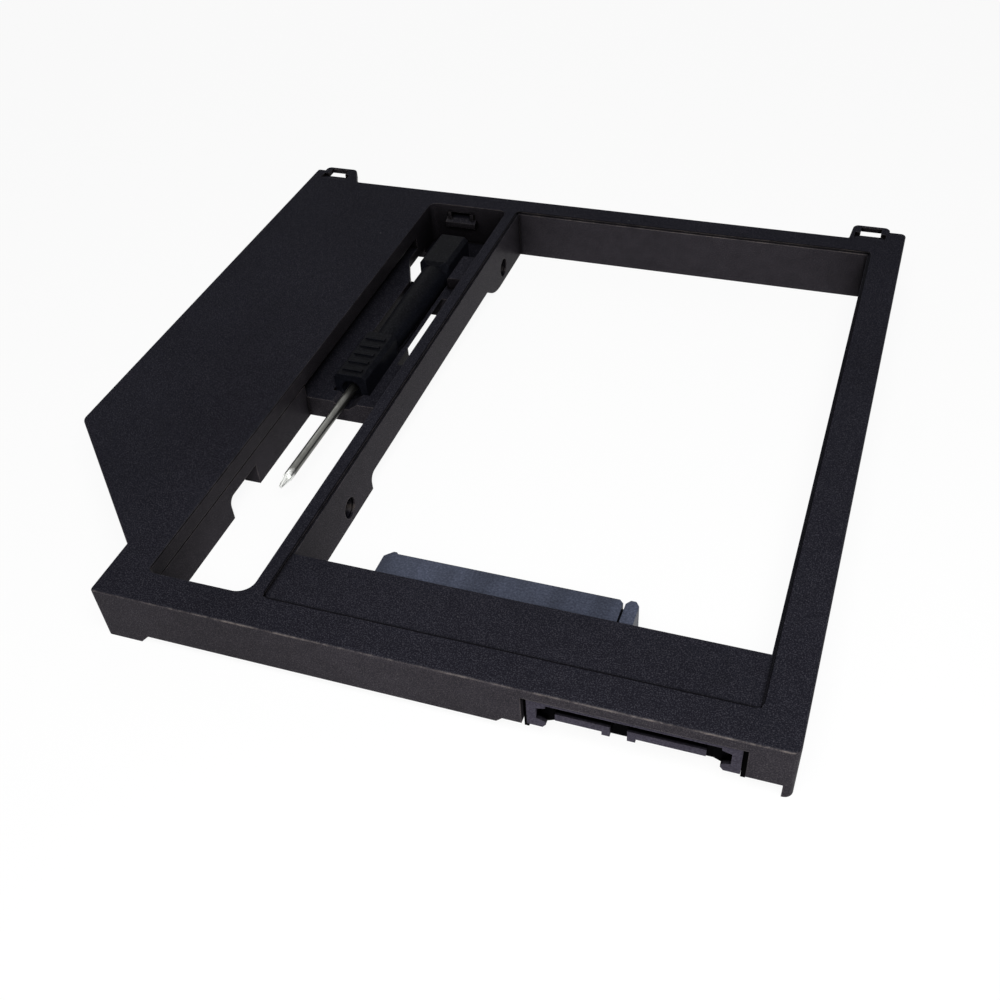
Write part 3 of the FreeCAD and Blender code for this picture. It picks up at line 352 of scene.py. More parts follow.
def moulded_grain_and_painted_light_group():
    """Spark-eroded mould grain: colour specks, dust, edge wear with painted highlight, painted light on
    walls, painted shade in creases and pits, gloss and a fine bump.
    """
    tree, start, end = new_group(
        "moulded_grain_and_painted_light",
        {"Dark": (0.01, 0.01, 0.01), "Speck": (0.05, 0.05, 0.05), "Speck Amount": 0.5, "Grain Scale": 4200.0,
         "Grain Depth": 0.00001, "Flat Roughness": 0.55, "Wall Roughness": 0.35, "Wall Grain": 0.3,
         "Edge Wear And Highlight": 0.5, "Edge Radius": 0.0002, "Dust": 0.5, "Wall Painted Light": (1.0, 1.0, 1.0), "Flat Painted Level": 1.0,
         "Crease Shade": 0.8, "Pit Reach": 0.02, "Pit Shade": 0.0, "Front Highlight": 0.0},
        {"Color": "Color", "Roughness": "Float", "Normal": "Vector"})
    coordinates = add(tree, "ShaderNodeTexCoord", (-1400, -400))
    here = coordinates.outputs["Object"]
    flat = flat_mask(tree, coordinates)
    fine = noise(tree, here, start.outputs["Grain Scale"], 2.0, 0.65, (-1000, 500))
    blotch = noise(tree, here, 420.0, 3.0, 0.6, (-1000, 250))
    rounded = rounded_normal(tree, start.outputs["Edge Radius"], (-1000, -900))

    tone = grain_tone(tree, start, here, flat, fine, blotch)
    tone = worn_and_highlit_corners(tree, start, here, tone, blotch, rounded)
    # Painted light: walls take their own level and tint, apart from the flat faces
    wall_painted_light = mixed(tree, flat, start.outputs["Wall Painted Light"], (1.0, 1.0, 1.0), (150, -800))
    tone = vector_step(tree, "MULTIPLY", tone, wall_painted_light, (350, 350)).outputs[0]
    tone = scaled(tree, tone, painted_shade_level(tree, start, flat), (400, 250))
    dust = dust_specks(tree, start, here, flat)
    tree.links.new(mixed(tree, dust, tone, DUST_GREY, (500, 400)), end.inputs["Color"])

    rough = between(tree, flat, start.outputs["Wall Roughness"], start.outputs["Flat Roughness"], (50, 0))
    smear = spread(tree, blotch, 0.3, 0.7, -0.06, 0.06, (50, -200))
    tree.links.new(joined(tree, rough, smear, "ADD", (250, 0), True), end.inputs["Roughness"])

    grain_share = between(tree, flat, start.outputs["Wall Grain"], 1.0, (50, -400))
    rise = joined(tree, fine, product(tree, blotch, 0.5, (50, -600)), "ADD", (250, -500))
    rise = product(tree, rise, grain_share, (400, -450))
    rise = product(tree, rise, start.outputs["Grain Depth"], (550, -450))
    tree.links.new(raised(tree, rise, rounded, (750, -400)), end.inputs["Normal"])
    return tree


def drawn_metal_group():
    """Fine lines round or along a metal piece, smudges and dulled corners."""
    tree, start, end = new_group(
        "drawn_metal",
        {"Metal": (0.5, 0.5, 0.5), "Dull": (0.3, 0.3, 0.3), "Line Scale": 1.0, "Line Depth": 0.000002,
         "Polish": 0.25},
        {"Color": "Color", "Roughness": "Float", "Normal": "Vector"})
    coordinates = add(tree, "ShaderNodeTexCoord", (-1400, -300))
    along = stretched(tree, coordinates, (60.0, 5200.0, 60.0), (-1200, -300))
    lines = noise(tree, along, start.outputs["Line Scale"], 3.0, 0.7, (-950, -300))
    smudge = noise(tree, coordinates.outputs["Object"], 300.0, 3.0, 0.6, (-950, 100))
    dull = spread(tree, smudge, 0.45, 0.75, 0.0, 0.7, (-700, 100))
    colour = mixed(tree, dull, start.outputs["Metal"], start.outputs["Dull"], (-400, 200))
    tree.links.new(colour, end.inputs["Color"])
    scratched = spread(tree, lines, 0.3, 0.7, 0.0, 0.12, (-700, -100))
    rough = joined(tree, start.outputs["Polish"], scratched, "ADD", (-400, 0))
    rough = joined(tree, rough, product(tree, dull, 0.18, (-400, -150)), "ADD", (-200, 0), True)
    tree.links.new(rough, end.inputs["Roughness"])
    rounded = rounded_normal(tree, 0.06 * MM, (-400, -500))
    rise = product(tree, lines, start.outputs["Line Depth"], (-300, -300))
    tree.links.new(raised(tree, rise, rounded, (0, -400)), end.inputs["Normal"])
    return tree


# Materials
def bare_shader(name, specular=None):
    """New material with a Principled shader on its output."""
    material = new_material(name)
    tree = material.node_tree
    out = add(tree, "ShaderNodeOutputMaterial", (700, 0))
    shader = add(tree, "ShaderNodeBsdfPrincipled", (400, 0))
    if specular is not None:
        shader.inputs["Specular IOR Level"].default_value = specular
    tree.links.new(shader.outputs[0], out.inputs["Surface"])
    return material, tree, shader


def finished(name, group, values, specular=None, metallic=0.0):
    """Material whose shader takes its colour, roughness and normal from one group."""
    material, tree, shader = bare_shader(name, specular)
    shader.inputs["Metallic"].default_value = metallic
    node = add(tree, "ShaderNodeGroup", (-200, 0), node_tree=group)
    for title, value in values.items():
        node.inputs[title].default_value = (*value, 1) if isinstance(value, tuple) else value
    tree.links.new(node.outputs["Color"], shader.inputs["Base Color"])
    tree.links.new(node.outputs["Roughness"], shader.inputs["Roughness"])
    tree.links.new(node.outputs["Normal"], shader.inputs["Normal"])
    return material, tree, shader, node


def shade_colour(tree, shader, node, level):
    """Scale the group's colour by a level on its way to the shader."""
    tree.links.new(scaled(tree, node.outputs["Color"], level, (100, 300)), shader.inputs["Base Color"])


def socket_material(grain):
    """Blue-grey socket plastic with faint flow lines from the mould gates."""
    # Crease and pit shade in this colour are painted shade
    material, tree, shader, node = finished(
        "socket_plastic", grain,
        {"Dark": SOCKET_DARK, "Speck": SOCKET_SPECK_AND_EDGE_HIGHLIGHT, "Speck Amount": 0.25, "Grain Scale": 3000.0,
         "Grain Depth": 0.000003, "Flat Roughness": 0.42, "Wall Roughness": 0.38, "Edge Wear And Highlight": 0.7,
         "Edge Radius": 0.00012, "Dust": 0.2, "Crease Shade": 0.7, "Pit Reach": 0.003, "Pit Shade": 0.3},
        specular=0.06)
    coordinates = add(tree, "ShaderNodeTexCoord", (-900, 400))
    along = stretched(tree, coordinates, (230.0, 28.0, 28.0), (-700, 400))
    flow = noise(tree, along, 1.0, 2.0, 0.5, (-500, 400))
    shade_colour(tree, shader, node, spread(tree, flow, 0.35, 0.65, 0.8, 1.22, (-300, 400)))
    return material


def distance_to_recess(tree):
    """Distance in plan from the recess's rounded outline, less than 0 inside it."""
    coordinates = add(tree, "ShaderNodeTexCoord", (-1500, 500))
    middle = (RECESS_MIDDLE[0], RECESS_MIDDLE[1], 0.0)
    straight = (RECESS_HALF[0] - RECESS_CORNER, RECESS_HALF[1] - RECESS_CORNER, 1.0)
    off_middle = vector_step(tree, "SUBTRACT", coordinates.outputs["Object"], middle, (-1300, 500)).outputs[0]
    across = vector_step(tree, "ABSOLUTE", off_middle, None, (-1150, 500)).outputs[0]
    past = vector_step(tree, "SUBTRACT", across, straight, (-1000, 500)).outputs[0]
    outer = vector_step(tree, "MAXIMUM", past, (0.0, 0.0, 0.0), (-850, 600)).outputs[0]
    reach = vector_step(tree, "LENGTH", outer, None, (-700, 600)).outputs["Value"]
    split = add(tree, "ShaderNodeSeparateXYZ", (-850, 400))
    tree.links.new(past, split.inputs[0])
    inside = joined(tree, split.outputs["X"], split.outputs["Y"], "MAXIMUM", (-700, 400))
    inside = joined(tree, inside, 0.0, "MINIMUM", (-550, 400))
    beyond = joined(tree, reach, inside, "ADD", (-550, 550))
    return joined(tree, beyond, RECESS_CORNER, "SUBTRACT", (-400, 550))


def frame_material(grain):
    """Near-black moulded plastic, with a fine painted shadow line along the step of the bay's shallow recess
    on the top.
    """
    # Its walls take painted light, its creases and pits painted shade, and its top front corner a painted
    # highlight
    material, tree, shader, node = finished(
        "frame_plastic", grain,
        {"Dark": FRAME_DARK, "Speck": FRAME_SPECK_AND_EDGE_HIGHLIGHT, "Speck Amount": 0.5, "Grain Scale": 5600.0,
         "Grain Depth": 0.000012, "Flat Roughness": 0.72, "Wall Roughness": 0.34, "Wall Grain": 0.12,
         "Edge Wear And Highlight": 0.5, "Edge Radius": 0.00035, "Dust": 0.4, "Wall Painted Light": FRAME_WALL_PAINTED_LIGHT,
         "Crease Shade": 0.8, "Pit Shade": 0.9, "Front Highlight": 0.3},
        specular=0.012)
    # Painted shadow: a thin dark line just outside the recess's outline, where the step's shade falls
    off_shadow_line = joined(tree, distance_to_recess(tree), RECESS_SHADOW_LINE_W, "SUBTRACT", (-250, 550))
    off_shadow_line = joined(tree, off_shadow_line, 0.0, "ABSOLUTE", (-100, 550))
    level = spread(tree, off_shadow_line, 0.5 * RECESS_SHADOW_LINE_W, 1.3 * RECESS_SHADOW_LINE_W, 0.2, 1.0, (50, 550))
    shade_colour(tree, shader, node, level)
    return material


def plug_material(grain):
    """Grey-violet plug plastic, with painted shade that darkens it to nearly black behind its front faces and
    darkens its flat faces.
    """
    material, tree, shader, node = finished(
        "plug_plastic", grain,
        {"Dark": PLUG_DARK, "Speck": PLUG_SPECK_AND_EDGE_HIGHLIGHT, "Speck Amount": 0.3, "Grain Scale": 3200.0,
         "Grain Depth": 0.000003, "Flat Roughness": 0.45, "Wall Roughness": 0.4, "Edge Wear And Highlight": 0.6,
         "Edge Radius": 0.00012, "Dust": 0.1, "Flat Painted Level": 0.25, "Crease Shade": 0.9},
        specular=0.004)
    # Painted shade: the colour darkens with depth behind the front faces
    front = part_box("bay_plug_housing")[0][1]
    coordinates = add(tree, "ShaderNodeTexCoord", (-900, 400))
    depth = axis_of(tree, coordinates.outputs["Object"], "Y", (-700, 400))
    level = spread(tree, depth, front + PLUG_SHADE_START, front + PLUG_SHADE_END, 1.0, 0.03, (-300, 400))
    shade_colour(tree, shader, node, level)
    return material


def handle_material(grain):
    """Black satin plastic of the screwdriver's handle, with its walls painted a little cooler and painted
    shade in its creases.
    """
    return finished(
        "handle_plastic", grain,
        {"Dark": HANDLE_DARK, "Speck": HANDLE_SPECK_AND_EDGE_HIGHLIGHT, "Speck Amount": 0.3, "Grain Scale": 3000.0,
         "Grain Depth": 0.000004, "Flat Roughness": 0.45, "Wall Roughness": 0.36, "Edge Wear And Highlight": 0.6,
         "Edge Radius": 0.00018, "Dust": 0.3, "Wall Painted Light": HANDLE_WALL_PAINTED_TINT, "Crease Shade": 0.5},
        specular=0.008)[0]


def shaft_material(drawn):
    """Dark drawn steel that is ground bright at the tip."""
    material, tree, shader, node = finished(
        "shaft_steel", drawn,
        {"Metal": STEEL, "Dull": DULL_STEEL, "Line Scale": 1.0, "Line Depth": 0.0000022, "Polish": 0.27},
        metallic=1.0)
    tip_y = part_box("screwdriver_shaft")[0][1]
    coordinates = add(tree, "ShaderNodeTexCoord", (-900, 300))
    here = coordinates.outputs["Object"]
    ragged = product(tree, noise(tree, here, 900.0, 2.0, 0.6, (-700, 500)), GROUND_RAGGED, (-500, 500))
    place = joined(tree, axis_of(tree, here, "Y", (-700, 300)), ragged, "ADD", (-350, 400))
    ground = spread(tree, place, tip_y + GROUND_FADE_FAR, tip_y + GROUND_FADE_NEAR, place=(-150, 400))
    colour = mixed(tree, ground, node.outputs["Color"], BRIGHT_STEEL, (0, 400))
    tree.links.new(colour, shader.inputs["Base Color"])
    return material


def board_material():
    """Green solder mask over copper traces, with the bare laminate on the cut edges."""
    material, tree, shader = bare_shader("board_laminate", specular=0.5)
    coordinates = add(tree, "ShaderNodeTexCoord", (-1100, 0))
    here = coordinates.outputs["Object"]
    flat = flat_mask(tree, coordinates, (-900, -500))
    traces = add(tree, "ShaderNodeTexBrick", (-700, 200))
    traces.inputs["Scale"].default_value = 260.0
    traces.inputs["Mortar Size"].default_value = 0.05
    traces.inputs["Brick Width"].default_value = 3.1
    traces.inputs["Row Height"].default_value = 0.22
    tree.links.new(here, traces.inputs["Vector"])
    mask = mixed(tree, traces.outputs["Fac"], TRACE_GREEN, MASK_GREEN, (-400, 250))
    cloth = noise(tree, here, 1500.0, 2.0, 0.5, (-700, -50))
    weave = spread(tree, cloth, 0.3, 0.7, 0.0, 0.25, (-500, -50))
    mask = mixed(tree, weave, mask, TRACE_GREEN, (-200, 200))
    tree.links.new(mixed(tree, flat, LAMINATE_EDGE, mask, (100, 150)), shader.inputs["Base Color"])
    tree.links.new(spread(tree, flat, 0.0, 1.0, 0.75, 0.32, (100, -100)), shader.inputs["Roughness"])
    rise = joined(tree, product(tree, traces.outputs["Fac"], -0.000012, (-400, -250)),
                  product(tree, cloth, 0.000002, (-400, -350)), "ADD", (-200, -300))
    tree.links.new(raised(tree, rise, None, (200, -300)), shader.inputs["Normal"])
    return material


def capacitor_material():
    """Tan ceramic body between two tinned ends, on each capacitor of the row."""
    material, tree, shader = bare_shader("capacitor_ceramic")
    coordinates = add(tree, "ShaderNodeTexCoord", (-1100, 0))
    here = coordinates.outputs["Object"]
    low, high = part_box("board_capacitor_1")
    length = high[0] - low[0]
    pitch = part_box("board_capacitor_2")[0][0] - low[0]
    row_start = low[0] + length / 2 - pitch / 2
    along = joined(tree, axis_of(tree, here, "X", (-1050, 0)), row_start, "SUBTRACT", (-900, 0))
    along = joined(tree, along, pitch, "DIVIDE", (-800, 0))
    along = joined(tree, along, 1.0, "FLOORED_MODULO", (-750, 0))
    off_middle = joined(tree, along, 0.5, "SUBTRACT", (-700, 0))
    off_middle = joined(tree, off_middle, 0.0, "ABSOLUTE", (-600, 0))
    off_middle = product(tree, off_middle, pitch / length, (-550, 0))
    grit = noise(tree, here, 4000.0, 2.0, 0.5, (-700, -200))
    place = joined(tree, off_middle, product(tree, grit, 0.04, (-500, -200)), "ADD", (-350, 0))
    ends = spread(tree, place, 0.3, 0.33, place=(-150, 0))
    body = mixed(tree, grit, CERAMIC, DARK_CERAMIC, (-150, 250))
    tree.links.new(mixed(tree, ends, body, TIN, (100, 200)), shader.inputs["Base Color"])
    tree.links.new(ends, shader.inputs["Metallic"])
    tree.links.new(spread(tree, ends, 0.0, 1.0, 0.5, 0.3, (100, -100)), shader.inputs["Roughness"])
    rounded = rounded_normal(tree, 0.08 * MM, (-150, -400))
    rise = product(tree, grit, 0.000006, (-100, -250))
    tree.links.new(raised(tree, rise, rounded, (150, -350)), shader.inputs["Normal"])
    return material


def make_materials():
    grain = moulded_grain_and_painted_light_group()
    drawn = drawn_metal_group()
    made = {
        "frame_plastic": frame_material(grain),
        "plug_plastic": plug_material(grain),
        "handle_plastic": handle_material(grain),
        "socket_plastic": socket_material(grain),
        "board_laminate": board_material(),
        "capacitor_ceramic": capacitor_material(),
        "shaft_steel": shaft_material(drawn),
    }
    for name, metal, dull, polish, scale, depth in (
            ("screw_steel", PLATED_STEEL, DULL_PLATING, 0.24, 0.6, 0.000001),
            ("contact_metal", GOLD, DULL_GOLD, 0.22, 0.3, 0.0000006),
            ("solder_tin", TIN, DULL_TIN, 0.2, 0.2, 0.000002)):
        values = {"Metal": metal, "Dull": dull, "Line Scale": scale, "Line Depth": depth, "Polish": polish}
        made[name] = finished(name, drawn, values, metallic=1.0)[0]
    return made


# Pieces made with Geometry Nodes
def new_geometry_tree(name, sizes):
    """Geometry tree with a geometry input, named sizes and a material, and its two end nodes."""
    tree = bpy.data.node_groups.new(name, "GeometryNodeTree")
    tree.interface.new_socket("Places", in_out="INPUT", socket_type="NodeSocketGeometry")
    for title, kind in sizes.items():
        tree.interface.new_socket(title, in_out="INPUT", socket_type="NodeSocket" + kind)
    tree.interface.new_socket("Finish", in_out="INPUT", socket_type="NodeSocketMaterial")
    tree.interface.new_socket("Pieces", in_out="OUTPUT", socket_type="NodeSocketGeometry")
    return tree, add(tree, "NodeGroupInput", (-1200, 0)), add(tree, "NodeGroupOutput", (900, 0))


def random_number(tree, start, low, high, place):
    """Random number for each piece, from the tree's Seed input."""
    node = add(tree, "FunctionNodeRandomValue", place, data_type="FLOAT")
    socket_of(node.inputs, "Min_001").default_value = low
    socket_of(node.inputs, "Max_001").default_value = high
    tree.links.new(start.outputs["Seed"], socket_of(node.inputs, "Seed"))
    return socket_of(node.outputs, "Value_001")


def set_out(tree, start, shape, place):
    """Instance node with the shape at each of the tree's places."""
    node = add(tree, "GeometryNodeInstanceOnPoints", place)
    tree.links.new(start.outputs["Places"], node.inputs["Points"])
    tree.links.new(shape, node.inputs["Instance"])
    return node


def end_tree(tree, start, end, instances):
    """Realize the instances and give them the finish."""
    real = add(tree, "GeometryNodeRealizeInstances", (400, 0))
    finish = add(tree, "GeometryNodeSetMaterial", (600, 0))
    tree.links.new(instances, real.inputs[0])
    tree.links.new(real.outputs[0], finish.inputs["Geometry"])
    tree.links.new(start.outputs["Finish"], finish.inputs["Material"])
    tree.links.new(finish.outputs[0], end.inputs[0])


def solder_blob_tree():
    """A small uneven drop of solder at each place."""
    tree, start, end = new_geometry_tree("solder_blobs", {
        "Blob Width": "Float", "Blob Length": "Float", "Blob Height": "Float", "Unevenness": "Float",
        "Seed": "Int"})
    ball = add(tree, "GeometryNodeMeshUVSphere", (-900, -200))
    ball.inputs["Segments"].default_value = 14
    ball.inputs["Rings"].default_value = 8
    ball.inputs["Radius"].default_value = 0.5
    form = add(tree, "ShaderNodeCombineXYZ", (-900, -450))
    for axis, title in zip("XYZ", ("Blob Width", "Blob Length", "Blob Height")):
        tree.links.new(start.outputs[title], form.inputs[axis])
    share = random_number(tree, start, 0.85, 1.12, (-900, 250))
    drops = set_out(tree, start, ball.outputs["Mesh"], (-400, 0))
    tree.links.new(scaled(tree, form.outputs[0], share, (-650, -300)), drops.inputs["Scale"])
    real = add(tree, "GeometryNodeRealizeInstances", (-200, 0))
    tree.links.new(drops.outputs[0], real.inputs[0])
    wave = add(tree, "ShaderNodeTexNoise", (-400, -350))
    wave.inputs["Scale"].default_value = 1800.0
    wave.inputs["Detail"].default_value = 1.0
    centred = vector_step(tree, "SUBTRACT", wave.outputs["Color"], (0.5, 0.5, 0.5), (-200, -350)).outputs[0]
    moved = add(tree, "GeometryNodeSetPosition", (100, 0))
    tree.links.new(real.outputs[0], moved.inputs["Geometry"])
    tree.links.new(scaled(tree, centred, start.outputs["Unevenness"], (0, -350)), moved.inputs["Offset"])
    smooth = add(tree, "GeometryNodeSetShadeSmooth", (250, 0))
    tree.links.new(moved.outputs[0], smooth.inputs["Geometry"])
    end_tree(tree, start, end, smooth.outputs[0])
    return tree


def pin_ring_tree():
    """Low round witness mark of an ejector pin at each place: a thin ring standing on the surface."""
    tree, start, end = new_geometry_tree("pin_rings", {"Ring Radius": "Float", "Ring Width": "Float"})
    path = add(tree, "GeometryNodeCurvePrimitiveCircle", (-900, -150))
    path.inputs["Resolution"].default_value = 28
    tree.links.new(start.outputs["Ring Radius"], path.inputs["Radius"])
    section = add(tree, "GeometryNodeCurvePrimitiveCircle", (-900, -400))
    section.inputs["Resolution"].default_value = 6
    tree.links.new(start.outputs["Ring Width"], section.inputs["Radius"])
    ring = add(tree, "GeometryNodeCurveToMesh", (-650, -200))
    tree.links.new(path.outputs["Curve"], ring.inputs["Curve"])
    tree.links.new(section.outputs["Curve"], ring.inputs["Profile Curve"])
    end_tree(tree, start, end, set_out(tree, start, ring.outputs[0], (-350, 0)).outputs[0])
    return tree


def screw_row_tree():
    """The given screw at each place, each turned by its own fixed angle."""
    tree, start, end = new_geometry_tree("screw_row", {"Screw": "Object", "Seed": "Int"})
    screw = add(tree, "GeometryNodeObjectInfo", (-900, -200))
    tree.links.new(start.outputs["Screw"], screw.inputs["Object"])
    turn = add(tree, "ShaderNodeCombineXYZ", (-650, -450))
    tree.links.new(random_number(tree, start, 0.0, math.pi / 2, (-900, -450)), turn.inputs["Z"])
    row = set_out(tree, start, screw.outputs["Geometry"], (-350, 0))
    tree.links.new(turn.outputs[0], row.inputs["Rotation"])
    end_tree(tree, start, end, row.outputs[0])
    return tree


def grown(name, tree, places, values):
    """Object with a plain mesh made by the tree at the given places."""
    seed_mesh = bpy.data.meshes.new(name + "_places")
    seed_mesh.from_pydata(places, [], [])
    piece = bpy.data.objects.new(name, seed_mesh)
    bpy.context.collection.objects.link(piece)
    modifier = piece.modifiers.new("grow", "NODES")
    modifier.node_group = tree
    sockets = {item.name: item.identifier for item in tree.interface.items_tree if item.in_out == "INPUT"}
    for title, value in values.items():
        modifier[sockets[title]] = value
    mesh = mesh_of(piece)
    piece.modifiers.remove(modifier)
    piece.data = mesh
    mesh.name = name
    return piece


def mesh_of(piece):
    """The piece's mesh with its modifiers applied."""
    bpy.context.view_layer.update()
    evaluated = piece.evaluated_get(bpy.context.evaluated_depsgraph_get())
    return bpy.data.meshes.new_from_object(evaluated)


def solder_joints(materials):
    """Solder where each contact's foot and each capacitor's end meets the board's underside."""
    board_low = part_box("adapter_board")[0][2]
    feet = []
    for node in sorted(n for n in frame["nodes"] if "contact" in n):
        low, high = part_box(node)
        x = (low[0] + high[0]) / 2
        y = low[1] if node.startswith("socket") else high[1]
        feet.append((x, y, board_low))
    ends = []
    for node in sorted(n for n in frame["nodes"] if "capacitor" in n):
        low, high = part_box(node)
        y = (low[1] + high[1]) / 2
        ends += [(low[0], y, board_low), (high[0], y, board_low)]
    contact_solder = grown(
        "contact_solder", solder_blob_tree(), feet,
        {"Blob Width": 0.78 * MM, "Blob Length": 1.1 * MM, "Blob Height": 0.5 * MM, "Unevenness": 0.12 * MM,
         "Seed": 3, "Finish": materials["solder_tin"]})
    capacitor_solder = grown(
        "capacitor_solder", solder_blob_tree(), ends,
        {"Blob Width": 0.7 * MM, "Blob Length": 0.86 * MM, "Blob Height": 0.6 * MM, "Unevenness": 0.1 * MM,
         "Seed": 8, "Finish": materials["solder_tin"]})
    for made in (contact_solder, capacitor_solder):
        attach(made, "root")


def pin_marks(materials):
    """Ejector-pin marks on the underside, where the mould's pins push on bars and plate."""
    low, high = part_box("caddy_frame")
    spots = [(x, y) for x in WING_PIN_XS for y in WING_PIN_YS] + [(x, BAR_PIN_Y) for x in BAR_PIN_XS]
    places = [(low[0] + x * MM, low[1] + y * MM, high[2] - PLATE_T) for x, y in spots]
    piece = grown("ejector_pin_marks", pin_ring_tree(), places,
                  {"Ring Radius": 1.5 * MM, "Ring Width": 0.06 * MM, "Finish": materials["frame_plastic"]})
    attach(piece, "root")


def lathe(profile, steps):
    """Closed turned mesh from (radius, height) points that start and end on the axis."""
    mesh = bmesh.new()
    turns = [2 * math.pi * i / steps for i in range(steps)]
    rings = []
    for r, z in profile:
        if r == 0:
            rings.append([mesh.verts.new((0, 0, z))])
        else:
            rings.append([mesh.verts.new((r * math.cos(a), r * math.sin(a), z)) for a in turns])
    for low, high in zip(rings, rings[1:]):
        for i in range(steps):
            j = (i + 1) % steps
            a, b = low[i % len(low)], low[j % len(low)]
            c, d = high[j % len(high)], high[i % len(high)]
            corners = []
            for v in (a, b, c, d):
                if v not in corners:
                    corners.append(v)
            mesh.faces.new(corners)
    bmesh.ops.recalc_face_normals(mesh, faces=mesh.faces)
    return mesh


def recess_blade(turn):
    """Tapered blade that cuts one arm of the cross recess into a screw head."""
    mesh = bmesh.new()
    spin = Matrix.Rotation(math.radians(turn), 4, "Z")
    rings = []
    for x, y, z in (BLADE_MOUTH, BLADE_FLOOR):
        corners = [(-x, -y, z), (x, -y, z), (x, y, z), (-x, y, z)]
        rings.append([mesh.verts.new(spin @ (Vector(p) * MM)) for p in corners])
    low, high = rings
    mesh.faces.new(low[::-1])
    mesh.faces.new(high)
    for i in range(4):
        j = (i + 1) % 4
        mesh.faces.new((low[i], low[j], high[j], high[i]))
    bmesh.ops.recalc_face_normals(mesh, faces=mesh.faces)
    return mesh


def as_object(name, mesh_data):
    mesh = bpy.data.meshes.new(name)
    mesh_data.to_mesh(mesh)
    mesh_data.free()
    made = bpy.data.objects.new(name, mesh)
    bpy.context.collection.objects.link(made)
    return made


def board_screws(materials):
    """Pan-head screws with a cross recess, in place of the plain ones."""
    low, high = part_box("board_screws")
    board = low[2] + SCREW_HEAD_H
    blank = as_object("screw_blank", lathe([(r * MM, z * MM) for r, z in SCREW_PROFILE], SCREW_STEPS))
    blades = [as_object(f"recess_blade_{turn}", recess_blade(turn)) for turn in (0, 90)]
    for blade in blades:
        cut = blank.modifiers.new("recess", "BOOLEAN")
        cut.operation = "DIFFERENCE"
        cut.solver = "EXACT"
        cut.object = blade
    cut_mesh = mesh_of(blank)
    blank.modifiers.clear()
    blank.data = cut_mesh
    places = [(low[0] + SCREW_HEAD_R, low[1] + SCREW_HEAD_R, board),
              (high[0] - SCREW_HEAD_R, high[1] - SCREW_HEAD_R, board)]
    piece = grown("board_screws_detailed", screw_row_tree(), places,
                  {"Screw": blank, "Seed": 5, "Finish": materials["screw_steel"]})
    for spare in [blank] + blades:
        bpy.data.objects.remove(spare)
    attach(piece, "root")
    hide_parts("board_screws")


def dress_nodes(materials):
    """Give every carried-over node the finish of its slot."""
    for part in frame["record"]["subparts"]:
        node = frame["nodes"][part["node"]]
        node.data.materials.clear()
        node.data.materials.append(materials[part["material_slot"]])


# The scene round the object
def set_up_camera():
    data = bpy.data.cameras.new("photo_camera")
    data.lens = CAMERA_LENS
    data.sensor_width = 36.0
    data.shift_x = CAMERA_SHIFT[0]
    data.shift_y = CAMERA_SHIFT[1]
    data.clip_start = 0.005
    data.clip_end = 10.0
    camera = bpy.data.objects.new("photo_camera", data)
    camera.location = CAMERA_PLACE
    camera.rotation_euler = Euler([math.radians(a) for a in CAMERA_TURN], "XYZ")
    bpy.context.collection.objects.link(camera)
    bpy.context.scene.camera = camera


def soft_lamp(name, place, target, size, energy):
    data = bpy.data.lights.new(name, "AREA")
    data.shape = "RECTANGLE"
    data.size = size[0]
    data.size_y = size[1]
    data.energy = energy
    lamp = bpy.data.objects.new(name, data)
    lamp.location = place
    lamp.rotation_euler = (Vector(target) - Vector(place)).to_track_quat("-Z", "Y").to_euler()
    lamp.visible_camera = False
    bpy.context.collection.objects.link(lamp)


def seen_directly(tree, place):
    """1 for rays from the camera and for glossy and transmitted ones, 0 for the rest."""
    x, y = place
    path = add(tree, "ShaderNodeLightPath", place)
    seen = joined(tree, path.outputs["Is Camera Ray"], path.outputs["Is Glossy Ray"], "MAXIMUM", (x + 200, y))
    return joined(tree, seen, path.outputs["Is Transmission Ray"], "MAXIMUM", (x + 400, y))


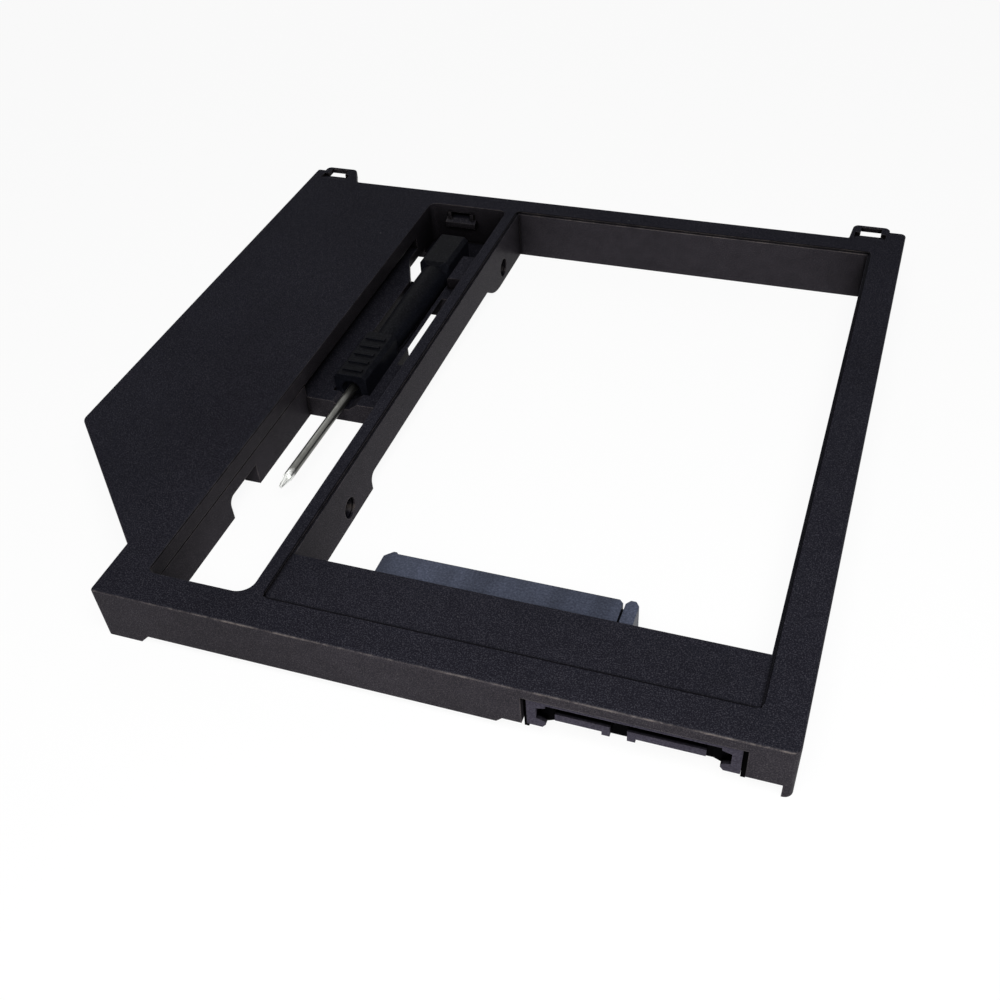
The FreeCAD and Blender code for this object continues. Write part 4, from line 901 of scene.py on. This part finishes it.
def white_table():
    """Pale table that keeps the shadow and shows white to the camera and to glossy surfaces."""
    mesh = bpy.data.meshes.new("table")
    half = TABLE_HALF
    corners = [(-half, -half, 0), (half, -half, 0), (half, half, 0), (-half, half, 0)]
    mesh.from_pydata(corners, [], [(0, 1, 2, 3)])
    table = bpy.data.objects.new("table", mesh)
    bpy.context.collection.objects.link(table)
    material = new_material("white_table")
    tree = material.node_tree
    out = add(tree, "ShaderNodeOutputMaterial", (600, 0))
    mix = add(tree, "ShaderNodeMixShader", (400, 0))
    paper = add(tree, "ShaderNodeBsdfDiffuse", (100, 0))
    paper.inputs["Color"].default_value = (*TABLE_COLOUR, 1)
    glow = add(tree, "ShaderNodeEmission", (100, -150))
    glow.inputs["Strength"].default_value = 1.0
    share = product(tree, seen_directly(tree, (-500, 200)), TABLE_GLOW, (100, 200))
    tree.links.new(share, mix.inputs["Fac"])
    tree.links.new(paper.outputs[0], mix.inputs[1])
    tree.links.new(glow.outputs[0], mix.inputs[2])
    tree.links.new(mix.outputs[0], out.inputs["Surface"])
    mesh.materials.append(material)


def studio_world():
    """Dim light from all round, white where the camera or a glossy surface sees it."""
    world = bpy.data.worlds.new("studio")
    bpy.context.scene.world = world
    world.use_nodes = True
    tree = world.node_tree
    back = tree.nodes["Background"]
    back.inputs["Color"].default_value = (1, 1, 1, 1)
    strength = spread(tree, seen_directly(tree, (-800, 0)), 0.0, 1.0, WORLD_STRENGTH, 1.0, (-200, 0))
    tree.links.new(strength, back.inputs["Strength"])


set_up_camera()
studio_world()
white_table()
soft_lamp("desk_lamp", DESK_LAMP_PLACE, DESK_LAMP_TARGET, DESK_LAMP_SIZE, DESK_LAMP_ENERGY)
soft_lamp("ceiling", CEILING_PLACE, (0, 0, 0), CEILING_SIZE, CEILING_ENERGY)
soft_lamp("back_fill", BACK_FILL_PLACE, (0, 0, 0), BACK_FILL_SIZE, BACK_FILL_ENERGY)
finishes = make_materials()
dress_nodes(finishes)
solder_joints(finishes)
pin_marks(finishes)
board_screws(finishes)
bpy.context.scene.view_settings.view_transform = "Standard"
